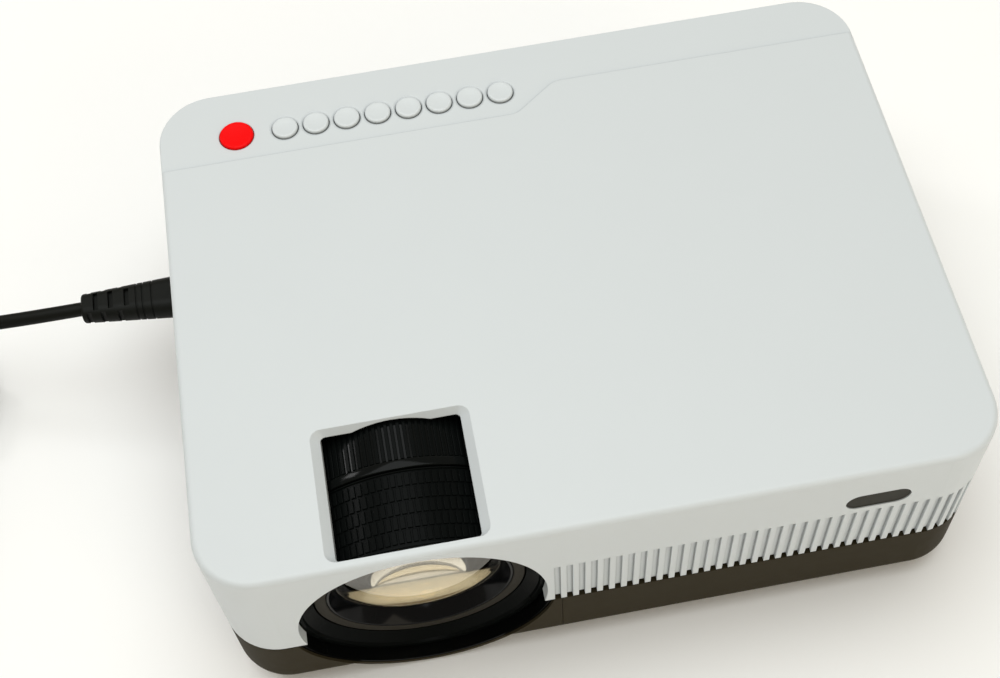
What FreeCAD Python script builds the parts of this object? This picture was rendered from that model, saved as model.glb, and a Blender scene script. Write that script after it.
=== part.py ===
"""Table-top projector with a disc player: a white upper case over a dark lower case, a large
lens with focus and keystone rings at the front left, eight round keys and a power key at the
rear edge, and a slim disc drawer in the right side.

Frame: +Z up, front faces -Y, origin on the floor under the middle of the case. Millimetres.
Cutting tools pass 1 mm through what they cut, and fused pieces sink a little into each other.
"""
import FreeCAD, Part
import math
import os

os.makedirs("parts", exist_ok=True)

V = FreeCAD.Vector
X_AXIS, Y_AXIS, Z_AXIS = V(1, 0, 0), V(0, 1, 0), V(0, 0, 1)

# ---------------------------------------------------------------- case
case_width = 280.0
case_depth = 213.0
case_height = 94.0
corner_radius = 21.0
foot_height = 7.0
wall = 2.5
top_wall = 3.0
top_edge_radius = 2.2
bottom_edge_radius = 9.0
lower_case_height = 34.4
seam_gap = 0.6
lip_thickness = 1.2
lip_height = 2.4
moving_gap = 0.3
slip_gap = 0.1

half_width = case_width / 2
front = -case_depth / 2
rear = case_depth / 2
left = -half_width
right = half_width
base = foot_height
top = base + case_height
rim = base + lower_case_height
skirt = rim + seam_gap
floor = base + wall
ceiling = top - top_wall

# ---------------------------------------------------------------- rear control deck
deck_step = 0.7
deck_depth = 34.8
deck_depth_right = 21.7
deck_turn_from_left = 140.5
deck_turn_length = 17.0
deck_turn_radius = 8.0
deck_top = top - deck_step

# ---------------------------------------------------------------- ribbed skirt
rib_pitch = 4.45
groove_width = 2.3
groove_depth = 1.2
groove_length = 29.0
notch_height = 1.3
rib_start_from_left = 120.0
rib_side_length = 40.0

# ---------------------------------------------------------------- lens axis and front opening
lens_from_left = 72.5
lens_below_top = 48.5
opening_radius = 45.0
opening_lip_depth = 4.9
opening_lip_wall = 1.9
lens_x = left + lens_from_left
axis_z = top - lens_below_top

# ---------------------------------------------------------------- rings and barrel
focus_radius = 46.2
focus_setback = 5.4
focus_length = 28.8
focus_edge = 0.6
focus_face_width = 2.2
focus_face_slope = 1.0
focus_lip_setback = 4.0
focus_lip_thickness = 1.6
focus_lip_clearance = 0.5
ring_gap = 0.6
band_radius = 46.4
band_length = 3.6
keystone_radius = 46.0
keystone_length = 19.5
ring_wall = 2.6
ring_edge = 0.5
rib_end_land = 0.8
web_thickness = 3.5
ring_rib_count = 132
ring_rib_depth = 0.6
mount_radius = 39.5
mount_wall = 2.6
collar_height = 3.3
collar_width = 3.0
focus_travel = 4.0
barrel_face_setback = 4.0
barrel_flange_radius = 38.4
barrel_flange_length = 4.0
barrel_length = 52.0
face_bore_radius = 34.2
retainer_bore_front = 33.0
retainer_bore_back = 30.6
retainer_length = 6.0
front_lens_edge = 2.4
front_lens_bulge = 6.0
front_lens_back_bulge = 3.5
middle_lens_radius = 28.0
middle_lens_edge = 9.0
middle_lens_hollow = 2.5
middle_lens_from_face = 18.0
rear_lens_radius = 26.0
rear_lens_edge = 4.0
rear_lens_bulge = 4.0
rear_lens_from_back = 9.0

# ---------------------------------------------------------------- top window over the rings
window_left = 28.5
window_right = 27.8
window_front_setback = 3.5
window_back_setback = 54.0
window_bevel = 3.3
window_back_bevel = 1.8
window_arch_radius = 47.6
window_front_bevel = 1.0
window_corner_radius = 4.0
well_depth = 5.5
well_wall = 1.6
ring_arch_end_gap = 1.0

# ---------------------------------------------------------------- lower front piece and trim
fascia_depth = 21.5
fascia_from_left = 122.6
fascia_gap = 0.15
trim_inner_radius = 47.2
trim_outer_radius = 48.4
trim_setback = 1.0
trim_length = 10.0
trough_wall = 1.8
trough_setback = 0.8

# ---------------------------------------------------------------- receiver window
receiver_from_right = 44.5
receiver_below_top = 21.6
receiver_width = 23.4
receiver_height = 10.2
receiver_recess = 0.4
receiver_depth = 4.0

# ---------------------------------------------------------------- keys
key_count = 8
key_pitch = 12.3
key_radius = 5.05
first_key_from_left = 49.8
key_row_from_rear = 22.4
key_proud = 1.0
key_flange = 1.1
key_flange_thickness = 1.0
key_flange_gap = 0.4
key_travel = 0.5
key_dish_radius = 6.3
key_dish_depth = 0.35
key_edge_radius = 0.5
power_radius = 6.7
power_from_left = 30.6
key_board_thickness = 1.2
key_board_depth = 16.0
key_board_margin = 9.0
key_post_radius = 2.2
key_post_from_row = 6.3
first_key_post_from_power = 9.6
last_key_post_from_key = 7.0
last_key_post_from_row = 5.5
switch_height = 2.6
switch_size = 6.0
plunger_height = 0.7
plunger_radius = 1.6

# ---------------------------------------------------------------- optical engine
engine_half_width = 49.5
engine_height = 77.0
engine_drop = 38.5
engine_wall = 2.0
rest_half_width = 34.0
rest_thickness = 4.0
front_rest_setback = 6.0
back_rest_setback = 12.0
engine_front_setback = 78.5
engine_from_rear = 48.5
cover_thickness = 2.0
light_port_radius = 33.0
mount_flange = 84.0
mount_flange_thickness = 3.0
fresnel_thickness = 2.0
fresnel_front_offset = 16.0
cradle_offset = 27.0
cradle_depth = 6.0
cradle_border = 5.0
panel_width = 81.0
panel_height = 50.0
panel_thickness = 2.4
cradle_pin_radius = 2.0
cradle_pin_reach = 3.3
fresnel_rear_offset = 42.0
fresnel_height = 70.0
slot_lug = 2.0
condenser_radius = 30.0
condenser_edge = 3.0
condenser_bulge = 9.0
condenser_from_back = 8.0
condenser_holder_wall = 2.9
led_size = 40.0
led_thickness = 3.0
led_dome_radius = 6.0
sink_size = 76.0
sink_base = 5.0
sink_depth = 24.2
fin_count = 15
fin_thickness = 1.6
fan_size = 80.0
fan_depth = 15.0
fan_bore_radius = 37.5
fan_hub_radius = 15.0
fan_strut_depth = 3.0
fan_blade_count = 9
fan_blade_thickness = 1.4
fan_strut_width = 4.0
fan_drop = 2.0
fan_from_wall = 3.5
fan_shaft_radius = 1.5

# ---------------------------------------------------------------- disc drive
drive_half_width = 64.4
drive_length = 126.4
drive_height = 12.6
drive_clearance_under = 6.5
drive_from_wall = 0.6
drive_post_inset = 8.0
mouth_post_inset = 9.0
sheet = 0.8
rail_thickness = 1.0
rail_height = 6.0
tray_gap = 0.3
tray_height = 7.0
tray_lift = 1.6
disc_pocket_radius = 60.6
disc_pocket_depth = 3.0
inner_pocket_radius = 41.0
inner_pocket_depth = 0.6
disc_centre_from_front = 63.2
bezel_thickness = 3.2
bezel_gap = 0.35
bezel_proud = 0.4
bezel_edge_radius = 0.8
platter_radius = 13.0
platter_height = 1.0
hub_radius = 7.4
hub_height = 2.2
motor_radius = 11.0
spindle_radius = 1.5
sled_angle = 45.0
sled_width = 26.0
sled_length = 18.0
sled_height = 3.0
sled_travel = 34.0
sled_start = 15.0
sled_slot_gap = 1.0
rod_seat = 2.0
objective_radius = 2.2
objective_height = 1.2
objective_holder_height = 0.7
rod_radius = 1.2
rod_gap = 0.1
eject_width = 12.0
eject_height = 3.4
eject_from_edge = 30.0
eject_travel = 0.8
eject_flange = 1.0
eject_flange_thickness = 0.7
eject_pocket_depth = 1.9
pin_hole_radius = 0.7
pin_hole_from_eject = 14.0

# ---------------------------------------------------------------- boards and small parts
post_radius = 3.5
post_above_seam = 1.0
screw_boss_wall = 0.5
shield_height = 24.0
shield_margin = 1.2
shield_post_gap = 0.7
shield_post_inset = 6.0
shield_fold_height = 4.0
shield_fold = 1.0
shield_thickness = 1.0
board_thickness = 1.6
board_inset = 5.0
main_board_length = 112.0
main_board_depth = 104.0
standoff_height = 6.0
standoff_radius = 2.5
power_board_length = 102.0
power_board_gap = 1.9
power_board_from_rear = 3.0
power_board_margin = 4.0
power_board_height = 7.0
speaker_frame = 40.0
speaker_frame_thickness = 3.0
speaker_cone_radius = 17.0
speaker_magnet_radius = 13.0
speaker_magnet_depth = 9.0
speaker_coil_radius = 8.0
speaker_dish_depth = 7.0
speaker_basket_depth = 7.0
speaker_basket_wall = 1.5
speaker_height = 28.0
speaker_spacing = 62.0
speaker_from_right = 42.0
speaker_from_wall = 3.0
speaker_rest_half_width = 9.0
port_board_height = 49.4
port_board_length = 52.0
port_board_depth = 18.0
socket_wall = 0.8
socket_depth = 13.0
socket_setback = 0.4
jack_radius = 1.8
port_row_from_front = 23.0
port_post_from_wall = 9.0
inlet_from_front = 152.5
inlet_height = 46.0
inlet_body_width = 24.0
inlet_body_height = 15.0
inlet_body_depth = 17.0
inlet_nose_width = 20.0
inlet_nose_height = 11.5
inlet_recess_width = 15.6
inlet_recess_height = 8.8
inlet_recess_depth = 13.0
contact_radius = 1.2
contact_spacing = 6.6
panel_front_setback = 11.9
panel_height_above_seam = 51.0
panel_inset = 10.0
screw_head_radius = 2.8
screw_head_height = 2.2
screw_radius = 1.35
screw_length = 13.0
screw_seat = 5.0
screw_from_side = 14.5
middle_screw_from_speaker = 6.0
screw_from_end = 13.5
rubber_foot_radius = 7.0
rubber_foot_from_side = 20.0
rubber_foot_from_rear = 21.0
rubber_foot_from_front = 36.0
lift_foot_from_left = 130.5
lift_foot_from_front = 16.0
lift_pad_radius = 7.5
lift_pad_height = 2.6
lift_wheel_radius = 9.0
lift_wheel_height = 3.4
lift_shaft_radius = 3.5
lift_shaft_length = 26.0
lift_boss_radius = 7.0
insert_radius = 5.0
insert_boss_wall = 3.0
insert_from_drive = 13.5
insert_from_mount = 0.5
thread_radius = 3.175
thread_depth = 9.0
insert_length = 11.0

# ---------------------------------------------------------------- mains lead
plug_nose_width = 14.8
plug_nose_height = 8.0
plug_nose_length = 9.5
plug_grip_width = 19.2
plug_grip_height = 11.0
plug_neck_width = 12.4
plug_neck_height = 8.6
plug_length = 43.5
plug_bend = 1.5
plug_rise = 0.6
groove_rings_from_neck = (28.7, 25.0, 22.5)
side_slots_from_neck = (15.5, 8.8, 3.1)
face_slots_from_neck = (18.5, 12.0, 6.0)
slot_width = 1.9
slot_depth = 1.8
lead_diameter = 5.8
coil_mean_radius = 34.5
coil_x = -291.0
coil_y = -12.0
coil_tracks_across = 3
coil_layers = 2
tail_length = 24.5
wall_plug_width = 25.0
wall_plug_neck_length = 13.5
wall_plug_length = 28.0
wall_plug_back = 6.0
wall_plug_shoulder = 12.0
wall_plug_edge_radius = 2.5
blade_spacing = 12.7
blade_thickness = 1.5
blade_height = 6.35
blade_length = 17.0
lead_points = [V(-184, 47.5, 53.6), V(-206, 47.5, 53.6), V(-230, 52.5, 47.5), V(-254, 56, 35.5),
               V(-277, 55, 22.5), V(-299, 48, 11.5), V(-318.5, 33, 4.6), V(-331.3, 12, 2.9),
               V(-331.3, -12, 2.9)]


# ================================================================ helpers
def block(x0, x1, y0, y1, z0, z1):
    return Part.makeBox(x1 - x0, y1 - y0, z1 - z0, V(x0, y0, z0))


def plate(cx, cz, width, height, y0, y1):
    """Upright plate across the case, centred on (cx, cz), from y0 to y1."""
    return block(cx - width / 2, cx + width / 2, y0, y1, cz - height / 2, cz + height / 2)


def post(x, y, z0, z1, radius):
    return Part.makeCylinder(radius, z1 - z0, V(x, y, z0), Z_AXIS)


def lens_cylinder(radius, y0, y1):
    """Cylinder about the optical axis."""
    return Part.makeCylinder(radius, y1 - y0, V(lens_x, y0, axis_z), Y_AXIS)


def lens_tube(outer, inner, y0, y1):
    return lens_cylinder(outer, y0, y1).cut(lens_cylinder(inner, y0 - 1, y1 + 1))


def lens_cone(radius0, radius1, y0, y1):
    return Part.makeCone(radius0, radius1, y1 - y0, V(lens_x, y0, axis_z), Y_AXIS)


def rounded_wire(x0, x1, y0, y1, radius, z):
    """Closed rectangle with round corners, flat at height z."""
    c = radius * (1 - math.sqrt(0.5))
    corners = ((x1, y0, -1, 1), (x1, y1, -1, -1), (x0, y1, 1, -1), (x0, y0, 1, 1))
    starts = (V(x1 - radius, y0, z), V(x1, y1 - radius, z), V(x0 + radius, y1, z), V(x0, y0 + radius, z))
    ends = (V(x1, y0 + radius, z), V(x1 - radius, y1, z), V(x0, y1 - radius, z), V(x0 + radius, y0, z))
    edges = []
    for i in range(4):
        x, y, sx, sy = corners[i]
        edges.append(Part.Arc(starts[i], V(x + sx * c, y + sy * c, z), ends[i]).toShape())
        edges.append(Part.makeLine(ends[i], starts[(i + 1) % 4]))
    return Part.Wire(edges)


def rounded_prism(x0, x1, y0, y1, radius, z0, z1):
    return Part.Face(rounded_wire(x0, x1, y0, y1, radius, z0)).extrude(V(0, 0, z1 - z0))


def plan_prism(inset, z0, z1):
    """The plan outline of the case, moved in by inset, as an upright prism."""
    x = half_width - inset
    y = rear - inset
    return rounded_prism(-x, x, -y, y, corner_radius - inset, z0, z1)


def edges_at_height(shape, z):
    return [e for e in shape.Edges if abs(e.BoundBox.ZMin - z) < 1e-3 and abs(e.BoundBox.ZMax - z) < 1e-3]


def stadium_wire(x, cy, cz, width, height):
    """Upright stadium outline facing along X, width along Y."""
    r = height / 2
    s = width / 2 - r
    low, high = cz - r, cz + r
    edges = [Part.makeLine(V(x, cy - s, low), V(x, cy + s, low)),
             Part.Arc(V(x, cy + s, low), V(x, cy + s + r, cz), V(x, cy + s, high)).toShape(),
             Part.makeLine(V(x, cy + s, high), V(x, cy - s, high)),
             Part.Arc(V(x, cy - s, high), V(x, cy - s - r, cz), V(x, cy - s, low)).toShape()]
    return Part.Wire(edges)


def stadium_bar(x0, x1, cy, cz, width, height):
    return Part.Face(stadium_wire(x0, cy, cz, width, height)).extrude(V(x1 - x0, 0, 0))


def stadium_plate(cx, cz, width, height, y0, y1):
    """Stadium facing along Y."""
    r = height / 2
    s = width / 2 - r
    ends = [Part.makeCylinder(r, y1 - y0, V(x, y0, cz), Y_AXIS) for x in (cx - s, cx + s)]
    return plate(cx, cz, 2 * s, height, y0, y1).multiFuse(ends).removeSplitter()


def cap_of_sphere(radius, bulge, y_edge, direction):
    """Lens surface: a spherical cap on the optical axis, from its edge plane towards direction."""
    ball_radius = (radius * radius + bulge * bulge) / (2 * bulge)
    centre = y_edge + direction * (bulge - ball_radius)
    ball = Part.makeSphere(ball_radius, V(lens_x, centre, axis_z), Y_AXIS)
    y_end = y_edge + direction * (bulge + 1)
    return ball.common(lens_cylinder(radius, min(y_edge, y_end), max(y_edge, y_end)))


def fuse(first, others):
    return first.multiFuse(others).removeSplitter()


def cut(shape, tools):
    for tool in tools:
        shape = shape.cut(tool)
    return shape


def save(name, shapes):
    """Write one node: a single solid, or a group of separate solids."""
    solids = []
    for shape in shapes if isinstance(shapes, list) else [shapes]:
        solids += shape.Solids
    assert solids, name
    for solid in solids:
        assert solid.isValid(), name + " is not valid"
    body = solids[0] if len(solids) == 1 else Part.makeCompound(solids)
    body.exportStep("parts/" + name + ".step")
    print(name, len(solids), "solids", round(sum(s.Volume for s in solids)), "mm3")


# ================================================================ lower case
trough_outer = trim_outer_radius + slip_gap + trough_wall
fascia_x1 = left + fascia_from_left
fascia_y1 = front + fascia_depth
drive_x1 = right - wall - drive_from_wall
drive_x0 = drive_x1 - drive_length
drive_z0 = floor + drive_clearance_under
drive_z1 = drive_z0 + drive_height
engine_front = front + engine_front_setback
engine_back = rear - engine_from_rear
engine_z0 = axis_z - engine_drop
engine_z1 = engine_z0 + engine_height
sink_z0 = axis_z - sink_size / 2
fan_z = axis_z - fan_drop
fan_y1 = rear - wall - fan_from_wall
fan_y0 = fan_y1 - fan_depth
led_y1 = engine_back + led_thickness
post_top = skirt + post_above_seam
lift_x = left + lift_foot_from_left
lift_y = front + lift_foot_from_front
insert_x = drive_x0 - insert_from_drive
insert_y = engine_front - mount_flange_thickness - insert_radius - insert_boss_wall - insert_from_mount
port_board_z = floor + port_board_height
port_y0 = front + port_row_from_front
shield_y = drive_half_width + 2 * post_radius + shield_margin
power_board_x0 = drive_x0 + board_inset
power_board_y1 = rear - wall - power_board_from_rear
power_board_y0 = shield_y + shield_fold / 2 + power_board_gap
power_board_z = floor + power_board_height
shield_z = floor + shield_height
speaker_x = right - speaker_from_right
speaker_y = front + wall + speaker_from_wall
speaker_z = floor + speaker_height + speaker_frame / 2
middle_screw_x = speaker_x - speaker_spacing - speaker_frame / 2 - middle_screw_from_speaker


def screw_points():
    x = half_width - screw_from_side
    y = rear - screw_from_end
    return [(-x, -y), (-x, y), (middle_screw_x, -y), (middle_screw_x, y), (x, -y), (x, y)]


def drive_posts():
    y = drive_half_width - drive_post_inset
    return [(x, s * y) for x in (drive_x0 + drive_post_inset, drive_x1 - mouth_post_inset) for s in (-1, 1)]


def shield_posts():
    y = drive_half_width + post_radius + shield_post_gap
    return [(x, s * y) for x in (drive_x0 + shield_post_inset, drive_x1 - mouth_post_inset) for s in (-1, 1)]


def power_board_posts():
    x1 = power_board_x0 + power_board_length
    m = power_board_margin
    return [(x, y) for x in (power_board_x0 + m, x1 - m) for y in (power_board_y0 + m, power_board_y1 - m)]


def port_board_posts():
    x = left + wall + port_post_from_wall
    return [(x, port_y0 + board_inset), (x, port_y0 + port_board_length - board_inset)]


def speaker_centres():
    return [speaker_x - speaker_spacing, speaker_x]


def rim_lip():
    """Inner lip that keys the two cases together, level with the seam."""
    outer = wall + slip_gap
    inner = outer + lip_thickness
    root = plan_prism(wall - 0.5, rim - 5, rim).cut(plan_prism(inner, rim - 6, rim + 1))
    tongue = plan_prism(outer, rim - 1, rim + lip_height).cut(plan_prism(inner, rim - 2, rim + 5))
    vented = block(fascia_x1, right, front, front + wall + rib_side_length + corner_radius, rim, skirt + 5)
    return root.fuse(tongue.cut(vented))


def floor_slots():
    """Air intake under the optical engine."""
    count = 9
    width = 3.0
    pitch = 7.0
    x0 = lens_x - pitch * (count - 1) / 2
    y0 = engine_front + 18.0
    y1 = engine_back - 22.0
    return [rounded_prism(x0 + i * pitch - width / 2, x0 + i * pitch + width / 2, y0, y1, width / 2 - 0.01,
                          base - 1, floor + 1) for i in range(count)]


def exhaust_slots(z0, z1):
    """Upright slots in the rear wall, behind the fan."""
    count = 12
    width = 3.2
    pitch = 6.0
    x0 = lens_x - pitch * (count - 1) / 2
    return [plate(x0 + i * pitch, (z0 + z1) / 2, width, z1 - z0, rear - wall - 1, rear + 1)
            for i in range(count)]


def supports():
    """Posts and rests that stand on the floor of the lower case."""
    parts = [post(x, y, floor - 1, drive_z0, post_radius) for x, y in drive_posts()]
    parts += [post(x, y, floor - 1, shield_z, post_radius) for x, y in shield_posts()]
    parts += [post(x, y, floor - 1, power_board_z, post_radius - 1) for x, y in power_board_posts()]
    parts += [post(x, y, floor - 1, port_board_z, post_radius - 0.5) for x, y in port_board_posts()]
    parts += [post(x, y, base + 1, post_top, post_radius + 1) for x, y in screw_points()]
    parts.append(post(lift_x, lift_y, base, base + lift_shaft_length - 2, lift_boss_radius))
    parts.append(post(insert_x, insert_y, base, base + insert_length + 1, insert_radius + insert_boss_wall))
    rest = lens_x - rest_half_width, lens_x + rest_half_width
    for y in (engine_front + front_rest_setback, engine_back - back_rest_setback):
        parts.append(block(*rest, y, y + rest_thickness, floor - 1, engine_z0))
    parts.append(block(*rest, led_y1 + 1, led_y1 + 4, floor - 1, sink_z0))
    parts.append(block(*rest, fan_y0 + 2, fan_y1 - 2, floor - 1, fan_z - fan_size / 2))
    for x in speaker_centres():
        parts.append(block(x - speaker_rest_half_width, x + speaker_rest_half_width, speaker_y,
                           speaker_y + speaker_frame_thickness, floor - 1, floor + speaker_height))
    return parts


def screw_holes():
    seat = post_top - screw_seat
    holes = []
    for x, y in screw_points():
        holes.append(post(x, y, base - 1, seat, screw_head_radius + moving_gap))
        holes.append(post(x, y, seat - 1, post_top + 1, screw_radius + moving_gap))
    return holes


def lower_shell():
    outer = plan_prism(0, base, rim)
    outer = outer.makeFillet(bottom_edge_radius, edges_at_height(outer, base))
    trough_y1 = keystone_y1 + 2 * moving_gap + trough_wall
    trough = lens_cylinder(trough_outer, front + trough_setback, trough_y1)
    outer = outer.fuse(trough.common(block(left, right, front, rear, 0, rim)))
    inner = plan_prism(wall, floor, rim + 1)
    inner = inner.makeFillet(bottom_edge_radius - wall, edges_at_height(inner, floor))
    shell = outer.cut(inner)
    shell = fuse(shell, [rim_lip()] + supports())
    hollow = lens_cylinder(trough_outer - trough_wall, front - 1, trough_y1 - trough_wall)
    mouth_y = drive_half_width + bezel_gap
    drive_mouth = block(right - wall - 2, right + 1, -mouth_y, mouth_y, drive_z0 - bezel_gap,
                        drive_z1 + bezel_gap)
    tools = [hollow, drive_mouth]
    tools.append(post(lift_x, lift_y, base - 1, base + lift_shaft_length, lift_shaft_radius + slip_gap))
    tools.append(post(insert_x, insert_y, base - 1, base + insert_length, insert_radius + slip_gap / 2))
    tools.append(Part.makeCompound(screw_holes()))
    tools.append(Part.makeCompound(floor_slots()))
    tools.append(Part.makeCompound(exhaust_slots(base + 11, rim - 7)))
    return cut(shell, tools)


def lower_case_pieces():
    """The lower case, and the front left piece of it that closes round the lens."""
    shell = lower_shell()
    zone = block(left - 1, fascia_x1, front - 1, fascia_y1, base - 8, skirt + 9)
    room = block(left - 1, fascia_x1 + fascia_gap, front - 1, fascia_y1 + fascia_gap, base - 8, skirt + 9)
    return shell.cut(room), shell.common(zone)


def lens_trim():
    """Black half ring that lines the lower half of the lens opening."""
    y0 = front + trim_setback
    ring = lens_tube(trim_outer_radius, trim_inner_radius, y0, y0 + trim_length)
    return ring.common(block(left, right, front, rear, 0, rim - slip_gap))


# ================================================================ upper case
window_x0 = lens_x - window_left
window_x1 = lens_x + window_right
window_y0 = front + window_front_setback
window_y1 = front + window_back_setback
well_x0 = window_x0 + window_bevel
well_x1 = window_x1 - window_bevel
well_y0 = window_y0 + window_front_bevel
well_y1 = window_y1 - window_back_bevel
key_y = rear - key_row_from_rear
key_x0 = left + first_key_from_left
power_x = left + power_from_left
key_board_top = ceiling - key_flange_gap - key_flange_thickness - key_travel - slip_gap \
    - plunger_height - switch_height
receiver_x = right - receiver_from_right
receiver_z = top - receiver_below_top
inlet_y = front + inlet_from_front
inlet_z = base + inlet_height


def key_points():
    return [(key_x0 + i * key_pitch, key_y) for i in range(key_count)]


def key_board_posts():
    """Places of the pegs that carry the key board, between the keys."""
    middle = key_points()[key_count // 2 - 1][0] + key_pitch / 2
    y = key_y - key_post_from_row
    return [(power_x + first_key_post_from_power, y), (middle, y),
            (key_points()[-1][0] + last_key_post_from_key, key_y + last_key_post_from_row)]


def skirt_grooves():
    """Upright grooves of the ribbed skirt, each with a vent notch at its foot. They follow the
    plan outline from the lens opening round the front right corner."""
    straight = case_width - corner_radius - rib_start_from_left
    turn = corner_radius * math.pi / 2
    total = straight + turn + rib_side_length
    groove = block(0, groove_width, -1, groove_depth, skirt - 1, skirt + groove_length)
    notch = block(0, groove_width, 0, wall + 2, skirt - 1, skirt + notch_height)
    profile = groove.fuse(notch)
    grooves = []
    for i in range(int((total - groove_width) / rib_pitch) + 1):
        along = i * rib_pitch
        piece = profile.copy()
        if along <= straight:
            piece.translate(V(left + rib_start_from_left + along, front, 0))
        elif along <= straight + turn:
            piece.translate(V(right - corner_radius - groove_width / 2, front, 0))
            angle = math.degrees((along - straight + groove_width / 2) / corner_radius)
            piece.rotate(V(right - corner_radius, front + corner_radius, 0), Z_AXIS, angle)
        else:
            piece.rotate(V(0, 0, 0), Z_AXIS, 90)
            piece.translate(V(right, front + corner_radius + along - straight - turn, 0))
        grooves.append(piece)
    return Part.makeCompound(grooves)


def deck_layer():
    """The thin layer above the control deck, which lies a step below the main top."""
    x_turn = left + deck_turn_from_left
    y0, y1 = rear - deck_depth, rear - deck_depth_right
    points = [(left - 1, y0), (x_turn, y0), (x_turn + deck_turn_length, y1), (right + 1, y1),
              (right + 1, rear + 1), (left - 1, rear + 1), (left - 1, y0)]
    wire = Part.makePolygon([V(x, y, deck_top) for x, y in points])
    layer = Part.Face(wire).extrude(V(0, 0, deck_step + 1))
    turns = [e for e in layer.Edges if abs(e.BoundBox.ZLength - deck_step - 1) < 1e-3
             and x_turn - 1 < e.BoundBox.XMin < x_turn + deck_turn_length + 1]
    return layer.makeFillet(deck_turn_radius, turns)


def key_openings():
    holes = []
    for x, y in key_points():
        holes.append(post(x, y, ceiling - 1, top, key_radius + moving_gap))
        holes.append(Part.makeCone(key_radius + moving_gap, key_dish_radius, key_dish_depth,
                                   V(x, y, deck_top - key_dish_depth), Z_AXIS))
    holes.append(post(power_x, key_y, ceiling - 1, top, power_radius + moving_gap))
    return Part.makeCompound(holes)


def window_cut():
    above = rounded_wire(window_x0, window_x1, window_y0, window_y1, window_corner_radius, top + 0.01)
    below = rounded_wire(well_x0, well_x1, well_y0, well_y1, window_corner_radius / 2, ceiling - 0.01)
    return Part.makeLoft([above, below], True, True)


def well_walls():
    """Walls that hang from the top beside the rings."""
    z0 = ceiling - well_depth
    sides = [block(x, x + well_wall, well_y0 + 1, well_y1 + well_wall, z0, ceiling + 1)
             for x in (well_x0 - well_wall, well_x1)]
    return [s.cut(lens_cylinder(band_radius + 2 * moving_gap, front, well_y1 + 9)) for s in sides]


def ring_arch():
    """Room for the rings under the back edge of the window, flared towards the window."""
    room = band_radius + 2 * moving_gap
    flare = window_arch_radius - room
    return [lens_cylinder(window_arch_radius, focus_y1, window_y1),
            lens_cylinder(room, focus_y1, keystone_y1 + ring_arch_end_gap),
            lens_cone(window_arch_radius, room, window_y1, window_y1 + flare)]


def panel_zone(grow):
    """Space of the port panel in the left wall; grow widens it for its slot."""
    y = rear - panel_front_setback
    return block(left - 1, left + panel_inset, -y - grow, y + grow, skirt - 1,
                 skirt + panel_height_above_seam + grow)


def raw_upper_shell():
    outer = plan_prism(0, skirt, top)
    outer = outer.makeFillet(top_edge_radius, edges_at_height(outer, top))
    return outer, outer.cut(plan_prism(wall, skirt - 1, ceiling))


def top_case():
    outer, shell = raw_upper_shell()
    shell = shell.cut(panel_zone(fascia_gap))
    opening_lip = lens_tube(opening_radius + opening_lip_wall, opening_radius, front,
                            front + opening_lip_depth)
    opening_lip = opening_lip.common(outer)
    bosses = [post(x, y, post_top, ceiling + 1, post_radius + screw_boss_wall) for x, y in screw_points()]
    bosses += [post(x, y, key_board_top, ceiling + 1, key_post_radius) for x, y in key_board_posts()]
    shell = fuse(shell, [opening_lip] + bosses + well_walls())
    pilots = [post(x, y, post_top - 1, post_top + screw_length, screw_radius + slip_gap)
              for x, y in screw_points()]
    opening = lens_cylinder(opening_radius, front - 1, front + opening_lip_depth + 1)
    receiver = stadium_plate(receiver_x, receiver_z, receiver_width, receiver_height,
                             front - 1, front + wall + 1)
    tools = [window_cut(), opening, receiver, deck_layer(), key_openings(), skirt_grooves()] + ring_arch()
    tools.append(Part.makeCompound(pilots))
    tools.append(Part.makeCompound(exhaust_slots(skirt + 6, ceiling - 12)))
    return cut(shell, tools)


def port_sizes():
    """Sockets of the port row: offset along the row, width, height."""
    return [(7.0, 15.2, 5.8), (22.0, 13.4, 6.0), (34.5, 6.4, 6.4), (45.0, 6.4, 6.4)]


def left_side_panel():
    shell = raw_upper_shell()[1].common(panel_zone(0))
    tools = []
    for offset, width, height in port_sizes():
        y = port_y0 + offset
        z = port_board_z + board_thickness
        tools.append(block(left - 1, left + wall + 1, y - width / 2 - moving_gap, y + width / 2 + moving_gap,
                           z - moving_gap, z + height + moving_gap))
    tools.append(stadium_bar(left - 1, left + wall + 1, inlet_y, inlet_z, inlet_nose_width + 2 * slip_gap,
                             inlet_nose_height + 2 * slip_gap))
    return cut(shell, tools)


def ir_window():
    y0 = front + receiver_recess
    body = stadium_plate(receiver_x, receiver_z, receiver_width - 2 * slip_gap,
                         receiver_height - 2 * slip_gap, y0, y0 + receiver_depth)
    flange = stadium_plate(receiver_x, receiver_z, receiver_width + 3, receiver_height + 3, front + wall,
                           y0 + receiver_depth)
    return fuse(body, [flange])


# ================================================================ keys
def key_cap(x, y, radius):
    """Round key: a cap through the deck, with a flange under it that rests on its switch."""
    flange_top = ceiling - key_flange_gap
    flange_z = flange_top - key_flange_thickness
    cap = post(x, y, flange_top - 0.5, deck_top + key_proud, radius)
    cap = cap.makeFillet(key_edge_radius, edges_at_height(cap, deck_top + key_proud))
    flange = post(x, y, flange_z, flange_top, radius + key_flange)
    return fuse(cap, [flange])


def key_board():
    """Circuit board under the keys, with a small switch below each one."""
    x0 = power_x - key_board_margin
    x1 = key_points()[-1][0] + key_board_margin
    board = block(x0, x1, key_y - key_board_depth / 2, key_y + key_board_depth / 2,
                  key_board_top - key_board_thickness, key_board_top)
    parts = []
    for x, y in key_points() + [(power_x, key_y)]:
        s = switch_size / 2
        parts.append(block(x - s, x + s, y - s, y + s, key_board_top, key_board_top + switch_height))
        top_of_switch = key_board_top + switch_height
        parts.append(post(x, y, top_of_switch - 0.5, top_of_switch + plunger_height, plunger_radius))
    return fuse(board, parts)


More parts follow.
